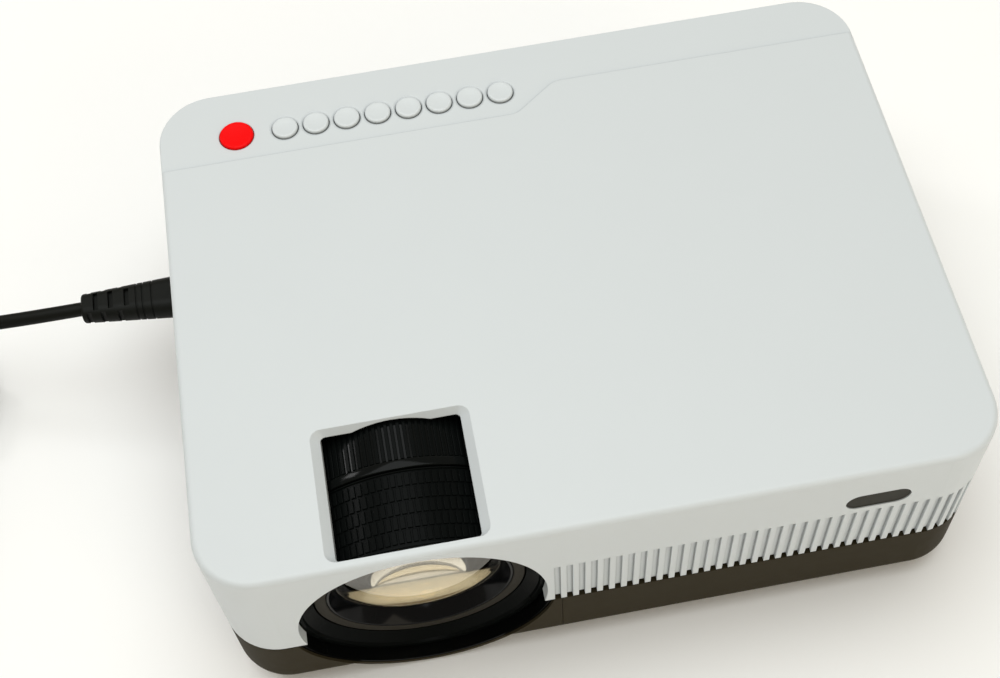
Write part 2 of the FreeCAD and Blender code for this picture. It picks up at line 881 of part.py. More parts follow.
# ================================================================ lens
focus_y0 = front + focus_setback
focus_y1 = focus_y0 + focus_length
keystone_y0 = focus_y1 + ring_gap
keystone_y1 = keystone_y0 + band_length + keystone_length
barrel_y0 = focus_y0 + barrel_face_setback
mount_y0 = barrel_y0 + barrel_flange_length + focus_travel + moving_gap
mount_bore = mount_radius - mount_wall
barrel_radius = mount_bore - moving_gap
ring_bore = mount_radius + slip_gap


def turned(points):
    """Solid of revolution about the optical axis from (radius, y) points."""
    corners = [V(lens_x + r, y, axis_z) for r, y in points]
    face = Part.Face(Part.makePolygon(corners + corners[:1]))
    return face.revolve(V(lens_x, 0, axis_z), Y_AXIS, 360)


def around(shape, count):
    """Copies of a shape round the optical axis."""
    copies = []
    for i in range(count):
        piece = shape.copy()
        piece.rotate(V(lens_x, 0, axis_z), Y_AXIS, 360.0 * i / count)
        copies.append(piece)
    return Part.makeCompound(copies)


def focus_ring():
    """Grip ring with a dished front, a lip round the barrel and a web that runs on the mount."""
    bore = barrel_flange_radius + focus_lip_clearance
    inner = focus_radius - ring_wall
    face = focus_radius - focus_edge - focus_face_width
    y0, y1 = focus_y0, focus_y1
    lip = y0 + focus_lip_setback
    return turned([(bore, lip), (face - 0.4, y0 + focus_face_slope), (face, y0),
                   (focus_radius - focus_edge, y0), (focus_radius, y0 + focus_edge), (focus_radius, y1),
                   (ring_bore, y1), (ring_bore, y1 - web_thickness), (inner, y1 - web_thickness),
                   (inner, lip + focus_lip_thickness), (bore, lip + focus_lip_thickness)])


def keystone_ring():
    """Ring with a smooth raised band and fine axial ribs behind it."""
    inner = keystone_radius - ring_wall
    y0, y1 = keystone_y0, keystone_y1
    step = y0 + band_length
    edge = band_radius - ring_edge
    ring = turned([(ring_bore, y0), (edge, y0), (band_radius, y0 + ring_edge),
                   (band_radius, step - ring_edge), (keystone_radius, step), (keystone_radius, y1),
                   (ring_bore, y1), (ring_bore, y1 - web_thickness), (inner, y1 - web_thickness),
                   (inner, y0 + web_thickness), (ring_bore, y0 + web_thickness)])
    width = math.pi * keystone_radius / ring_rib_count
    slot = plate(lens_x, axis_z + keystone_radius, width, 2 * ring_rib_depth, step + rib_end_land,
                 y1 - rib_end_land)
    return ring.cut(around(slot, ring_rib_count))


def lens_mount():
    """Fixed tube that carries both rings outside and the lens barrel inside."""
    y1 = engine_front
    tube = lens_cylinder(mount_radius, mount_y0, y1)
    collar_y = keystone_y1 + moving_gap
    collar = lens_cylinder(mount_radius + collar_height, collar_y, collar_y + collar_width)
    flange = plate(lens_x, axis_z, mount_flange, mount_flange, y1 - mount_flange_thickness, y1)
    return fuse(tube, [collar, flange]).cut(lens_cylinder(mount_bore, mount_y0 - 1, y1 + 1))


def front_seat():
    """Place of the front lens behind its retaining ring."""
    return barrel_y0 + retainer_length


def lens_barrel():
    body = fuse(lens_cylinder(barrel_radius, barrel_y0, barrel_y0 + barrel_length),
                [lens_cylinder(barrel_flange_radius, barrel_y0, barrel_y0 + barrel_flange_length)])
    seat_end = front_seat() + front_lens_edge
    middle_y = barrel_y0 + middle_lens_from_face - middle_lens_edge / 2
    tools = [lens_cylinder(face_bore_radius + slip_gap, barrel_y0 - 1, seat_end),
             lens_cone(retainer_bore_back + 1, middle_lens_radius + slip_gap, seat_end - 0.01,
                       middle_y + 0.01),
             lens_cylinder(middle_lens_radius + slip_gap, middle_y, middle_y + middle_lens_edge),
             lens_cylinder(rear_lens_radius + slip_gap, middle_y, barrel_y0 + barrel_length + 1)]
    return cut(body, tools)


def front_retaining_ring():
    ring = lens_cylinder(face_bore_radius, barrel_y0, front_seat())
    return ring.cut(lens_cone(retainer_bore_front, retainer_bore_back, barrel_y0, front_seat()))


def front_lens():
    y0 = front_seat()
    y1 = y0 + front_lens_edge
    edge = lens_cylinder(face_bore_radius - 2 * moving_gap, y0, y1)
    front_cap = cap_of_sphere(retainer_bore_back - 2 * slip_gap, front_lens_bulge, y0, -1)
    back_cap = cap_of_sphere(retainer_bore_back - 2 * slip_gap, front_lens_back_bulge, y1, 1)
    return fuse(edge, [front_cap, back_cap])


def middle_lens():
    y0 = barrel_y0 + middle_lens_from_face - middle_lens_edge / 2
    y1 = y0 + middle_lens_edge
    disc = lens_cylinder(middle_lens_radius, y0, y1)
    hollow = middle_lens_radius - 2
    return cut(disc, [cap_of_sphere(hollow, middle_lens_hollow, y0, 1),
                      cap_of_sphere(hollow, middle_lens_hollow, y1, -1)])


def rear_lens():
    y0 = barrel_y0 + barrel_length - rear_lens_from_back - rear_lens_edge / 2
    y1 = y0 + rear_lens_edge
    cap = rear_lens_radius - 1
    return fuse(lens_cylinder(rear_lens_radius, y0, y1),
                [cap_of_sphere(cap, rear_lens_bulge, y0, -1), cap_of_sphere(cap, rear_lens_bulge, y1, 1)])


# ================================================================ optical engine
engine_x0 = lens_x - engine_half_width
engine_x1 = lens_x + engine_half_width
engine_floor = engine_z0 + engine_wall
cradle_width = panel_width + 2 * cradle_border
cradle_height = panel_height + 2 * cradle_border
cradle_y = engine_front + cradle_offset


def plate_slots():
    """Pairs of upright ribs on the side walls that hold the two Fresnel lenses."""
    ribs = []
    half = fresnel_thickness / 2 + slip_gap
    for offset in (fresnel_front_offset, fresnel_rear_offset):
        y = engine_front + offset
        for y0 in (y - half - slot_lug, y + half):
            for x0 in (engine_x0 + engine_wall, engine_x1 - engine_wall - slot_lug):
                ribs.append(block(x0, x0 + slot_lug, y0, y0 + slot_lug, engine_floor,
                                  engine_floor + fresnel_height))
    return ribs


def optical_housing():
    shell = block(engine_x0, engine_x1, engine_front, engine_back, engine_z0, engine_z1)
    w = engine_wall
    cavity = block(engine_x0 + w, engine_x1 - w, engine_front + w, engine_back - w, engine_floor,
                   engine_z1 + 1)
    holder_y0 = engine_back - condenser_from_back - condenser_edge - 2
    holder = lens_cylinder(condenser_radius + condenser_holder_wall, holder_y0, engine_back - w)
    shell = fuse(shell.cut(cavity), plate_slots() + [holder])
    lens_back = engine_back - condenser_from_back
    tools = [lens_cylinder(light_port_radius, engine_front - 1, engine_front + w + 1),
             lens_cylinder(condenser_radius + slip_gap, holder_y0 - 1, lens_back),
             lens_cylinder(condenser_radius - 3, lens_back - 1, engine_back - w),
             lens_cylinder(led_size / 2 - 2.5, engine_back - w - 1, engine_back + 1),
             Part.makeCylinder(cradle_pin_radius + slip_gap, cradle_width + 20,
                               V(lens_x - cradle_width / 2 - 10, cradle_y, axis_z), X_AXIS)]
    return cut(shell, tools)


def optical_cover():
    lid = block(engine_x0, engine_x1, engine_front, engine_back, engine_z1, engine_z1 + cover_thickness)
    w = engine_wall + slip_gap
    plug = block(engine_x0 + w + slot_lug, engine_x1 - w - slot_lug, engine_front + w, engine_front + w + 6,
                 engine_z1 - 2, engine_z1)
    return fuse(lid, [plug])


def fresnel(offset):
    """Flat square lens standing in its slots, with a shallow ringed face."""
    y = engine_front + offset
    half = engine_half_width - engine_wall - moving_gap
    sheet_lens = block(lens_x - half, lens_x + half, y - fresnel_thickness / 2, y + fresnel_thickness / 2,
                       engine_floor, engine_floor + fresnel_height)
    rings = [lens_tube(r + 0.8, r, y - fresnel_thickness / 2 - 1, y - fresnel_thickness / 2 + 0.4)
             for r in (10, 18, 26)]
    return cut(sheet_lens, rings)


def lcd_cradle():
    y0 = cradle_y - cradle_depth / 2
    frame = plate(lens_x, axis_z, cradle_width, cradle_height, y0, y0 + cradle_depth)
    seat = plate(lens_x, axis_z, panel_width + 2 * slip_gap, panel_height + 2 * slip_gap, y0 - 1,
                 y0 + cradle_depth - 2)
    view = plate(lens_x, axis_z, panel_width - 6, panel_height - 6, y0, y0 + cradle_depth + 1)
    length = cradle_width + 2 * cradle_pin_reach
    pin = Part.makeCylinder(cradle_pin_radius, length, V(lens_x - length / 2, cradle_y, axis_z), X_AXIS)
    return fuse(frame, [pin]).cut(seat).cut(view)


def lcd_panel():
    y1 = cradle_y + cradle_depth / 2 - 2
    return plate(lens_x, axis_z, panel_width, panel_height, y1 - panel_thickness, y1)


def condenser_lens():
    y1 = engine_back - condenser_from_back
    y0 = y1 - condenser_edge
    return fuse(lens_cylinder(condenser_radius, y0, y1),
                [cap_of_sphere(condenser_radius - 0.5, condenser_bulge, y0, -1)])


def led_module():
    board = plate(lens_x, axis_z, led_size, led_size, engine_back, led_y1)
    dome = Part.makeSphere(led_dome_radius, V(lens_x, engine_back, axis_z))
    dome = dome.common(lens_cylinder(led_dome_radius + 1, engine_back - led_dome_radius - 1, engine_back + 1))
    return fuse(board, [dome])


def heat_sink():
    base_plate = plate(lens_x, axis_z, sink_size, sink_size, led_y1, led_y1 + sink_base)
    pitch = (sink_size - fin_thickness) / (fin_count - 1)
    x0 = lens_x - sink_size / 2
    fins = [block(x0 + i * pitch, x0 + i * pitch + fin_thickness, led_y1 + sink_base - 0.5,
                  led_y1 + sink_depth, sink_z0, sink_z0 + sink_size) for i in range(fin_count)]
    return fuse(base_plate, fins)


def fan_cylinder(radius, y0, y1):
    return Part.makeCylinder(radius, y1 - y0, V(lens_x, y0, fan_z), Y_AXIS)


def fan_frame():
    """Square frame, with a motor plate at the rear on four struts and a shaft for the rotor."""
    body = plate(lens_x, fan_z, fan_size, fan_size, fan_y0, fan_y1).cut(
        fan_cylinder(fan_bore_radius, fan_y0 - 1, fan_y1 + 1))
    back = fan_y1 - fan_strut_depth
    reach = fan_bore_radius + 1
    parts = [fan_cylinder(fan_hub_radius, back, fan_y1), fan_cylinder(fan_shaft_radius, fan_y0 + 2.5, fan_y1),
             plate(lens_x, fan_z, 2 * reach, fan_strut_width, back, fan_y1),
             plate(lens_x, fan_z, fan_strut_width, 2 * reach, back, fan_y1)]
    return fuse(body, parts)


def fan_rotor():
    y0 = fan_y0 + 0.8
    y1 = fan_y1 - fan_strut_depth - moving_gap
    hub = fan_cylinder(fan_hub_radius, y0, y1)
    tip = fan_bore_radius - 0.8
    chord = (y1 - y0) * 1.15
    blades = []
    for i in range(fan_blade_count):
        blade = block(-chord / 2, chord / 2, -fan_blade_thickness / 2, fan_blade_thickness / 2,
                      fan_hub_radius - 2, tip + 2)
        blade.rotate(V(0, 0, 0), Z_AXIS, 52)
        blade.translate(V(lens_x, (y0 + y1) / 2, fan_z))
        blade.rotate(V(lens_x, 0, fan_z), Y_AXIS, 360.0 * i / fan_blade_count)
        blades.append(blade.common(fan_cylinder(tip, y0, y1)))
    return fuse(hub, blades).cut(fan_cylinder(fan_shaft_radius + 0.05, fan_y0 + 2, fan_y1))


# ================================================================ disc drive
tray_front = right - bezel_thickness + bezel_proud
tray_back = drive_x0 + sheet + 0.5
tray_z0 = drive_z0 + sheet + tray_lift
tray_z1 = tray_z0 + tray_height
rail_y = drive_half_width - sheet - rail_thickness
tray_half = rail_y - tray_gap
disc_x = tray_front - disc_centre_from_front
platter_z = tray_z1 - disc_pocket_depth + 0.8
bezel_z0 = drive_z0
bezel_z1 = drive_z1
eject_y = -drive_half_width + eject_from_edge
eject_z = (bezel_z0 + bezel_z1) / 2
rod_x = sled_width / 2 - 3.0
sled_z0 = tray_z0 + 0.6
slot_y1 = -sled_start + sled_slot_gap
slot_y0 = -sled_start - sled_travel - sled_length - sled_slot_gap


def along_sled(shape):
    """Turn a shape drawn along -Y from the spindle to the slanting line of the sled."""
    shape.rotate(V(disc_x, 0, 0), Z_AXIS, sled_angle)
    return shape


def rod_pair(radius, y0, y1):
    z = sled_z0 + sled_height / 2
    return [along_sled(Part.makeCylinder(radius, y1 - y0, V(disc_x + s * rod_x, y0, z), Y_AXIS))
            for s in (-1, 1)]


def drive_base():
    """Sheet steel pan of the disc drive, open at the drawer's mouth."""
    x0, x1, y = drive_x0, drive_x1, drive_half_width
    top_of_walls = drive_z1 - sheet
    pan = block(x0, x1, -y, y, drive_z0, top_of_walls)
    room = block(x0 + sheet, x1 + 1, -y + sheet, y - sheet, drive_z0 + sheet, top_of_walls + 1)
    return pan.cut(room)


def drive_cover():
    x0, x1, y = drive_x0, drive_x1, drive_half_width
    lid = block(x0, x1, -y, y, drive_z1 - sheet, drive_z1)
    ring = Part.makeCylinder(24, sheet, V(disc_x, 0, drive_z1 - sheet / 2), Z_AXIS)
    return lid.cut(ring)


def tray_rails():
    """Pair of steel runners fixed to the side walls of the pan."""
    z0 = (tray_z0 + tray_z1) / 2 - rail_height / 2
    x0, x1 = drive_x0 + 3, drive_x1 - 1
    near = block(x0, x1, rail_y, rail_y + rail_thickness, z0, z0 + rail_height)
    far = block(x0, x1, -rail_y - rail_thickness, -rail_y, z0, z0 + rail_height)
    return [near, far]


def disc_tray():
    """Drawer with the disc pocket, the drive slot for the sled and a well for the spindle."""
    body = block(tray_back, tray_front, -tray_half, tray_half, tray_z0, tray_z1)
    pocket_z = tray_z1 - disc_pocket_depth
    half_w = eject_width / 2 + 2
    half_h = eject_height / 2 + 2
    eject_room = block(tray_front - 2, tray_front + 1, eject_y - half_w, eject_y + half_w,
                       eject_z - half_h, eject_z + half_h)
    slot_half = sled_width / 2 + sled_slot_gap
    slot = along_sled(block(disc_x - slot_half, disc_x + slot_half, slot_y0, slot_y1, tray_z0 - 1,
                            tray_z1 + 1))
    rods = rod_pair(rod_radius + 0.02, slot_y0 - rod_seat, slot_y1 + rod_seat)
    tools = [post(disc_x, 0, pocket_z, tray_z1 + 1, disc_pocket_radius),
             post(disc_x, 0, pocket_z - inner_pocket_depth, tray_z1 + 1, inner_pocket_radius),
             post(disc_x, 0, tray_z0 + 1, tray_z1 + 1, platter_radius + 0.8),
             slot, eject_room] + rods
    return cut(body, tools)


def sled_rods():
    return rod_pair(rod_radius, slot_y0 - rod_seat, slot_y1 + rod_seat)


def laser_sled():
    """Carriage with the objective lens, running on the two rods."""
    y1 = -sled_start
    half = sled_width / 2
    body = block(disc_x - half, disc_x + half, y1 - sled_length, y1, sled_z0, sled_z0 + sled_height)
    lens_y = y1 - sled_length / 2
    deck = sled_z0 + sled_height
    head = post(disc_x, lens_y, deck - 0.5, deck + objective_holder_height, objective_radius + 2)
    dome = post(disc_x, lens_y, deck, deck + objective_height, objective_radius)
    sled = along_sled(fuse(body, [head, dome]))
    return cut(sled, rod_pair(rod_radius + rod_gap, y1 - sled_length - 1, y1 + 1))


def spindle_motor():
    z0 = tray_z0 + 1
    return post(disc_x, 0, z0, platter_z - moving_gap, motor_radius).cut(
        post(disc_x, 0, z0 + 0.5, platter_z, spindle_radius + 0.05))


def spindle_hub():
    """Platter with the tapered hub that grips a disc's centre hole."""
    platter = post(disc_x, 0, platter_z, platter_z + platter_height, platter_radius)
    z0 = platter_z + platter_height
    hub = post(disc_x, 0, z0 - 0.2, z0 + hub_height, hub_radius)
    hub = hub.makeFillet(0.7, edges_at_height(hub, z0 + hub_height))
    return fuse(platter, [hub, post(disc_x, 0, tray_z0 + 1.8, platter_z + 0.2, spindle_radius)])


def tray_bezel():
    x1 = tray_front + bezel_thickness
    bezel = block(tray_front, x1, -drive_half_width, drive_half_width, bezel_z0, bezel_z1)
    bezel = bezel.makeFillet(bezel_edge_radius, [e for e in bezel.Edges if e.BoundBox.XMin > x1 - 1e-3])
    half_w = eject_width / 2
    half_h = eject_height / 2
    x0 = tray_front
    hole = block(x0 - 1, x0 + 9, eject_y - half_w - moving_gap, eject_y + half_w + moving_gap,
                 eject_z - half_h - moving_gap, eject_z + half_h + moving_gap)
    half_w += eject_flange + moving_gap
    half_h += eject_flange + moving_gap
    pocket = block(x0 - 1, x0 + eject_pocket_depth, eject_y - half_w, eject_y + half_w,
                   eject_z - half_h, eject_z + half_h)
    pin_hole = Part.makeCylinder(pin_hole_radius, 9, V(x0 - 1, eject_y + pin_hole_from_eject, eject_z),
                                 X_AXIS)
    return cut(bezel, [hole, pocket, pin_hole])


def eject_button():
    x0 = tray_front + eject_pocket_depth - moving_gap
    half_w = eject_width / 2
    half_h = eject_height / 2
    key = block(x0 - 0.2, tray_front + bezel_thickness + eject_travel, eject_y - half_w, eject_y + half_w,
                eject_z - half_h, eject_z + half_h)
    half_w += eject_flange
    half_h += eject_flange
    flange = block(x0 - eject_flange_thickness, x0, eject_y - half_w, eject_y + half_w,
                   eject_z - half_h, eject_z + half_h)
    return fuse(key, [flange])


# ================================================================ boards and small parts
def board_shield():
    """Folded steel cover over the disc drive that carries the main board."""
    x0, x1 = drive_x0, drive_x1 - 2
    z1 = shield_z + shield_thickness
    deck = block(x0, x1, -shield_y, shield_y, shield_z, z1)
    folds = [block(x0, x1, s * shield_y - shield_fold / 2, s * shield_y + shield_fold / 2,
                   shield_z - shield_fold_height, z1) for s in (-1, 1)]
    bx0, by0 = main_board_corner()
    studs = [post(x, y, z1 - 0.5, z1 + standoff_height, standoff_radius)
             for x in (bx0 + board_inset, bx0 + main_board_length - board_inset)
             for y in (by0 + board_inset, by0 + main_board_depth - board_inset)]
    return fuse(deck, folds + studs)


def main_board_corner():
    return drive_x0 + board_inset, -main_board_depth / 2


def main_board():
    x0, y0 = main_board_corner()
    z0 = shield_z + shield_thickness + standoff_height
    z1 = z0 + board_thickness
    board = block(x0, x0 + main_board_length, y0, y0 + main_board_depth, z0, z1)
    chips = [(18, 20, 26, 26, 2.0), (60, 18, 14, 20, 1.6), (60, 48, 18, 12, 1.6), (20, 62, 30, 14, 6.0),
             (88, 70, 16, 24, 4.0), (88, 14, 10, 40, 7.0), (6, 88, 60, 8, 6.0)]
    parts = [block(x0 + x, x0 + x + w, y0 + y, y0 + y + d, z1 - 0.2, z1 + h) for x, y, w, d, h in chips]
    sink = [block(x0 + 20 + 4 * i, x0 + 21.5 + 4 * i, y0 + 21, y0 + 45, z1 + 1.8, z1 + 10) for i in range(6)]
    cans = [post(x0 + 60 + 11 * i, y0 + 80, z1 - 0.2, z1 + 11, 4.0) for i in range(2)]
    return fuse(board, parts + sink + cans)


def power_board():
    z1 = power_board_z + board_thickness
    x0, y0 = power_board_x0, power_board_y0
    board = block(x0, x0 + power_board_length, y0, power_board_y1, power_board_z, z1)
    y1 = power_board_y1
    depth = y1 - y0
    blocks = [(34, 2, 26, 19), (4, 4, 10, 9), (18, 7, 10, 12), (92, 3, 6, 8)]
    parts = [block(x0 + x, x0 + x + w, y0 + edge, y1 - edge, z1 - 0.2, z1 + h) for x, edge, w, h in blocks]
    cans = [post(x0 + 70, y0 + depth / 2, z1 - 0.2, z1 + 22, 8.0)]
    cans += [post(x0 + 84, y0 + share * depth, z1 - 0.2, z1 + 14, 4.5) for share in (0.3, 0.72)]
    return fuse(board, parts + cans)


def speakers():
    """Two small full-range speakers behind the ribbed skirt."""
    y0 = speaker_y
    y1 = y0 + speaker_frame_thickness
    group = []
    for x in speaker_centres():
        frame = plate(x, speaker_z, speaker_frame, speaker_frame, y0, y1)
        dish = Part.makeCone(speaker_cone_radius, speaker_coil_radius, speaker_dish_depth,
                             V(x, y0 - 0.01, speaker_z), Y_AXIS)
        basket = Part.makeCone(speaker_cone_radius + speaker_basket_wall, speaker_magnet_radius,
                               speaker_basket_depth, V(x, y1 - 0.5, speaker_z), Y_AXIS)
        magnet = Part.makeCylinder(speaker_magnet_radius, speaker_magnet_depth,
                                   V(x, y1 + speaker_basket_depth - 1, speaker_z), Y_AXIS)
        group.append(fuse(frame, [basket, magnet]).cut(dish))
    return group


def port_board():
    """Socket board behind the left panel, with its row of sockets as separate solids."""
    x0 = left + wall + moving_gap
    z1 = port_board_z + board_thickness
    board = block(x0, x0 + port_board_depth, port_y0, port_y0 + port_board_length, port_board_z, z1)
    group = [board]
    for offset, width, height in port_sizes():
        y = port_y0 + offset
        outer = block(left + socket_setback, left + socket_depth, y - width / 2, y + width / 2, z1,
                      z1 + height)
        if width > 10:
            half = width / 2 - socket_wall
            mouth = block(left, left + 9, y - half, y + half, z1 + socket_wall, z1 + height - socket_wall)
        else:
            mouth = Part.makeCylinder(jack_radius, 11, V(left, y, z1 + height / 2), X_AXIS)
        group.append(outer.cut(mouth))
    return group


def power_inlet():
    """Two-pin mains socket that closes the slot in the left panel."""
    face = left + wall
    nose = stadium_bar(left + 0.2, face + 1, inlet_y, inlet_z, inlet_nose_width, inlet_nose_height)
    half_w = inlet_body_width / 2
    half_h = inlet_body_height / 2
    body = block(face, face + inlet_body_depth, inlet_y - half_w, inlet_y + half_w, inlet_z - half_h,
                 inlet_z + half_h)
    recess = stadium_bar(left, left + inlet_recess_depth, inlet_y, inlet_z, inlet_recess_width,
                         inlet_recess_height)
    pins = [Part.makeCylinder(contact_radius, inlet_recess_depth - 3, V(left + 4, y, inlet_z), X_AXIS)
            for y in (inlet_y - contact_spacing / 2, inlet_y + contact_spacing / 2)]
    return fuse(fuse(nose, [body]).cut(recess), pins)


def rubber_feet():
    x = half_width - rubber_foot_from_side
    points = [(s * x, y) for s in (-1, 1)
              for y in (front + rubber_foot_from_front, rear - rubber_foot_from_rear)]
    feet = []
    for px, py in points:
        foot = post(px, py, 0, base, rubber_foot_radius)
        feet.append(foot.makeFillet(1.2, edges_at_height(foot, 0)))
    return feet


def elevator_foot():
    """Sliding foot: a shaft in its boss, on a pad that stands on the table."""
    pad = post(lift_x, lift_y, 0, lift_pad_height, lift_pad_radius)
    shaft = post(lift_x, lift_y, lift_pad_height - 0.5, lift_pad_height + lift_shaft_length,
                 lift_shaft_radius)
    return fuse(pad, [shaft])


def foot_wheel():
    """Knurled wheel that drives the foot up and down."""
    z1 = base - moving_gap
    z0 = z1 - lift_wheel_height
    wheel = post(lift_x, lift_y, z0, z1, lift_wheel_radius)
    notches = []
    for i in range(20):
        angle = 2 * math.pi * i / 20
        x = lift_x + lift_wheel_radius * math.cos(angle)
        y = lift_y + lift_wheel_radius * math.sin(angle)
        notches.append(post(x, y, z0 - 1, z1 + 1, 0.6))
    return wheel.cut(Part.makeCompound(notches)).cut(
        post(lift_x, lift_y, z0 - 1, z1 + 1, lift_shaft_radius + slip_gap))


def case_screws():
    seat = post_top - screw_seat
    group = []
    for x, y in screw_points():
        head = post(x, y, seat - screw_head_height, seat, screw_head_radius)
        face = seat - screw_head_height
        slot = block(x - 2, x + 2, y - 0.4, y + 0.4, face - 1, face + 1)
        group.append(fuse(head, [post(x, y, seat - 0.5, seat + screw_length, screw_radius)]).cut(slot))
    return group


def tripod_insert():
    body = post(insert_x, insert_y, base, base + insert_length, insert_radius)
    return body.cut(post(insert_x, insert_y, base - 1, base + thread_depth, thread_radius))


# ================================================================ mains lead
plug_x0 = left - 0.5
neck_x = plug_x0 - plug_length
track_reach = (coil_tracks_across - 1) / 2 * lead_diameter
coil_height = coil_layers * lead_diameter
top_track_z = coil_height - lead_diameter / 2


def grip_section(x, shrink):
    """Outline of the plug's grip at x: a stadium that narrows and leans towards the cable."""
    t = (plug_x0 - x) / plug_length
    width = plug_grip_width + t * (plug_neck_width - plug_grip_width) - 2 * shrink
    height = plug_grip_height + t * (plug_neck_height - plug_grip_height) - 2 * shrink
    return stadium_wire(x, inlet_y + t * plug_bend, inlet_z + t * plug_rise, width, height)


def power_plug():
    """Cable plug in the inlet, with grip rings and a slotted strain relief."""
    grip = Part.makeLoft([grip_section(plug_x0, 0), grip_section(neck_x, 0)], True, True)
    end = [e for e in grip.Edges if e.BoundBox.XMax < neck_x + 1e-3]
    grip = grip.makeFillet(1.2, end)
    core = Part.makeLoft([grip_section(plug_x0, 0.5), grip_section(neck_x, 0.5)], True, True)
    rings = []
    for from_neck in groove_rings_from_neck:
        x = neck_x + from_neck
        slab = block(x - 0.35, x + 0.35, inlet_y - 20, inlet_y + 20, inlet_z - 20, inlet_z + 20)
        rings.append(slab.cut(core))
    slots = []
    for from_neck in side_slots_from_neck:
        x = neck_x + from_neck
        half = plug_neck_width / 2 + (plug_grip_width - plug_neck_width) / 2 * from_neck / plug_length
        cy = inlet_y + plug_bend * (1 - from_neck / plug_length)
        for y in (cy - half, cy + half):
            slots.append(block(x - slot_width / 2, x + slot_width / 2, y - slot_depth, y + slot_depth,
                               inlet_z - 10, inlet_z + 10))
    for from_neck in face_slots_from_neck:
        x = neck_x + from_neck
        half = plug_neck_height / 2 + (plug_grip_height - plug_neck_height) / 2 * from_neck / plug_length
        cy = inlet_y + plug_bend * (1 - from_neck / plug_length)
        cz = inlet_z + plug_rise * (1 - from_neck / plug_length)
        for z in (cz - half, cz + half):
            slots.append(block(x - slot_width / 2, x + slot_width / 2, cy - 4, cy + 4,
                               z - slot_depth, z + slot_depth))
    nose = stadium_bar(plug_x0 - 0.5, left + plug_nose_length, inlet_y, inlet_z, plug_nose_width,
                       plug_nose_height)
    sockets = [Part.makeCylinder(contact_radius + slip_gap, 12, V(left, y, inlet_z), X_AXIS)
               for y in (inlet_y - contact_spacing / 2, inlet_y + contact_spacing / 2)]
    return cut(fuse(cut(grip, rings + slots), [nose]), sockets)


def cable_path(points):
    """Straight runs joined by tangent arcs, each as large as its two runs allow."""
    edges = []
    radii = []
    start = points[0]
    for before, corner, after in zip(points, points[1:], points[2:]):
        run_in = (corner - before).normalize()
        run_out = (after - corner).normalize()
        turn = run_in.getAngle(run_out)
        reach = 0.45 * min(before.distanceToPoint(corner), corner.distanceToPoint(after))
        radius = reach / math.tan(turn / 2)
        radii.append(round(radius, 1))
        arc_start = corner - run_in * reach
        arc_end = corner + run_out * reach
        inward = (run_out - run_in).normalize()
        sagitta = radius / math.cos(turn / 2) - radius
        edges.append(Part.LineSegment(start, arc_start).toShape())
        edges.append(Part.Arc(arc_start, corner + inward * sagitta, arc_end).toShape())
        start = arc_end
    edges.append(Part.LineSegment(start, points[-1]).toShape())
    print("cable radii", radii)
    return Part.Wire(edges)


def power_lead():
    path = cable_path(lead_points)
    radius = lead_diameter / 2
    section = Part.Wire([Part.Circle(lead_points[0], lead_points[1] - lead_points[0], radius).toShape()])
    tube = path.makePipeShell([section], True, False)
    print("lead length", round(path.Length, 1), "volume", round(tube.Volume),
          "section times length", round(math.pi * radius ** 2 * path.Length))
    return tube


def lead_coil():
    """Outer shape of the wound cable, with its last stretch leaving for the wall plug."""
    r = lead_diameter / 2
    half = track_reach + r
    section = rounded_wire(coil_x + coil_mean_radius - half, coil_x + coil_mean_radius + half,
                           0, coil_height, r - 0.01, 0)
    section.rotate(V(0, 0, 0), X_AXIS, 90)
    section.translate(V(0, coil_y, 0))
    ring = Part.Face(section).revolve(V(coil_x, coil_y, 0), Z_AXIS, 360)
    tail = Part.makeCylinder(r - 0.1, tail_length,
                             V(coil_x + coil_mean_radius + track_reach, coil_y, top_track_z), Y_AXIS)
    outer = coil_x - coil_mean_radius - half
    entry = block(outer - 1, outer + 3 * r, coil_y, coil_y + coil_mean_radius, -1, 2 * r + moving_gap)
    return fuse(ring.cut(entry), [tail])


def wall_plug():
    """Two-blade mains plug on the end of the lead."""
    x = coil_x + coil_mean_radius + track_reach
    y0 = coil_y + tail_length
    y1 = y0 + wall_plug_neck_length
    y2 = y1 + wall_plug_length
    neck = Part.makeCone(lead_diameter / 2 + 0.5, lead_diameter / 2 + 2.4, wall_plug_neck_length,
                         V(x, y0, top_track_z), Y_AXIS)
    half_w = wall_plug_width / 2
    shoulder = y1 + wall_plug_shoulder
    outline = [V(x - wall_plug_back, y1, 0), V(x + wall_plug_back, y1, 0), V(x + half_w - 1, shoulder, 0),
               V(x + half_w, y2, 0), V(x - half_w, y2, 0), V(x - half_w + 1, shoulder, 0),
               V(x - wall_plug_back, y1, 0)]
    body = Part.Face(Part.makePolygon(outline)).extrude(V(0, 0, 2 * top_track_z))
    long_edges = [e for e in body.Edges if abs(e.BoundBox.ZLength) < 1e-3 and e.BoundBox.YMax < y2 - 1e-3
                  or e.BoundBox.YLength > 5 and e.BoundBox.ZLength < 1e-3]
    body = body.makeFillet(wall_plug_edge_radius, long_edges)
    blades = [block(bx - blade_thickness / 2, bx + blade_thickness / 2, y2 - 2, y2 + blade_length,
                    top_track_z - blade_height / 2, top_track_z + blade_height / 2)
              for bx in (x - blade_spacing / 2, x + blade_spacing / 2)]
    return fuse(body, [neck] + blades)


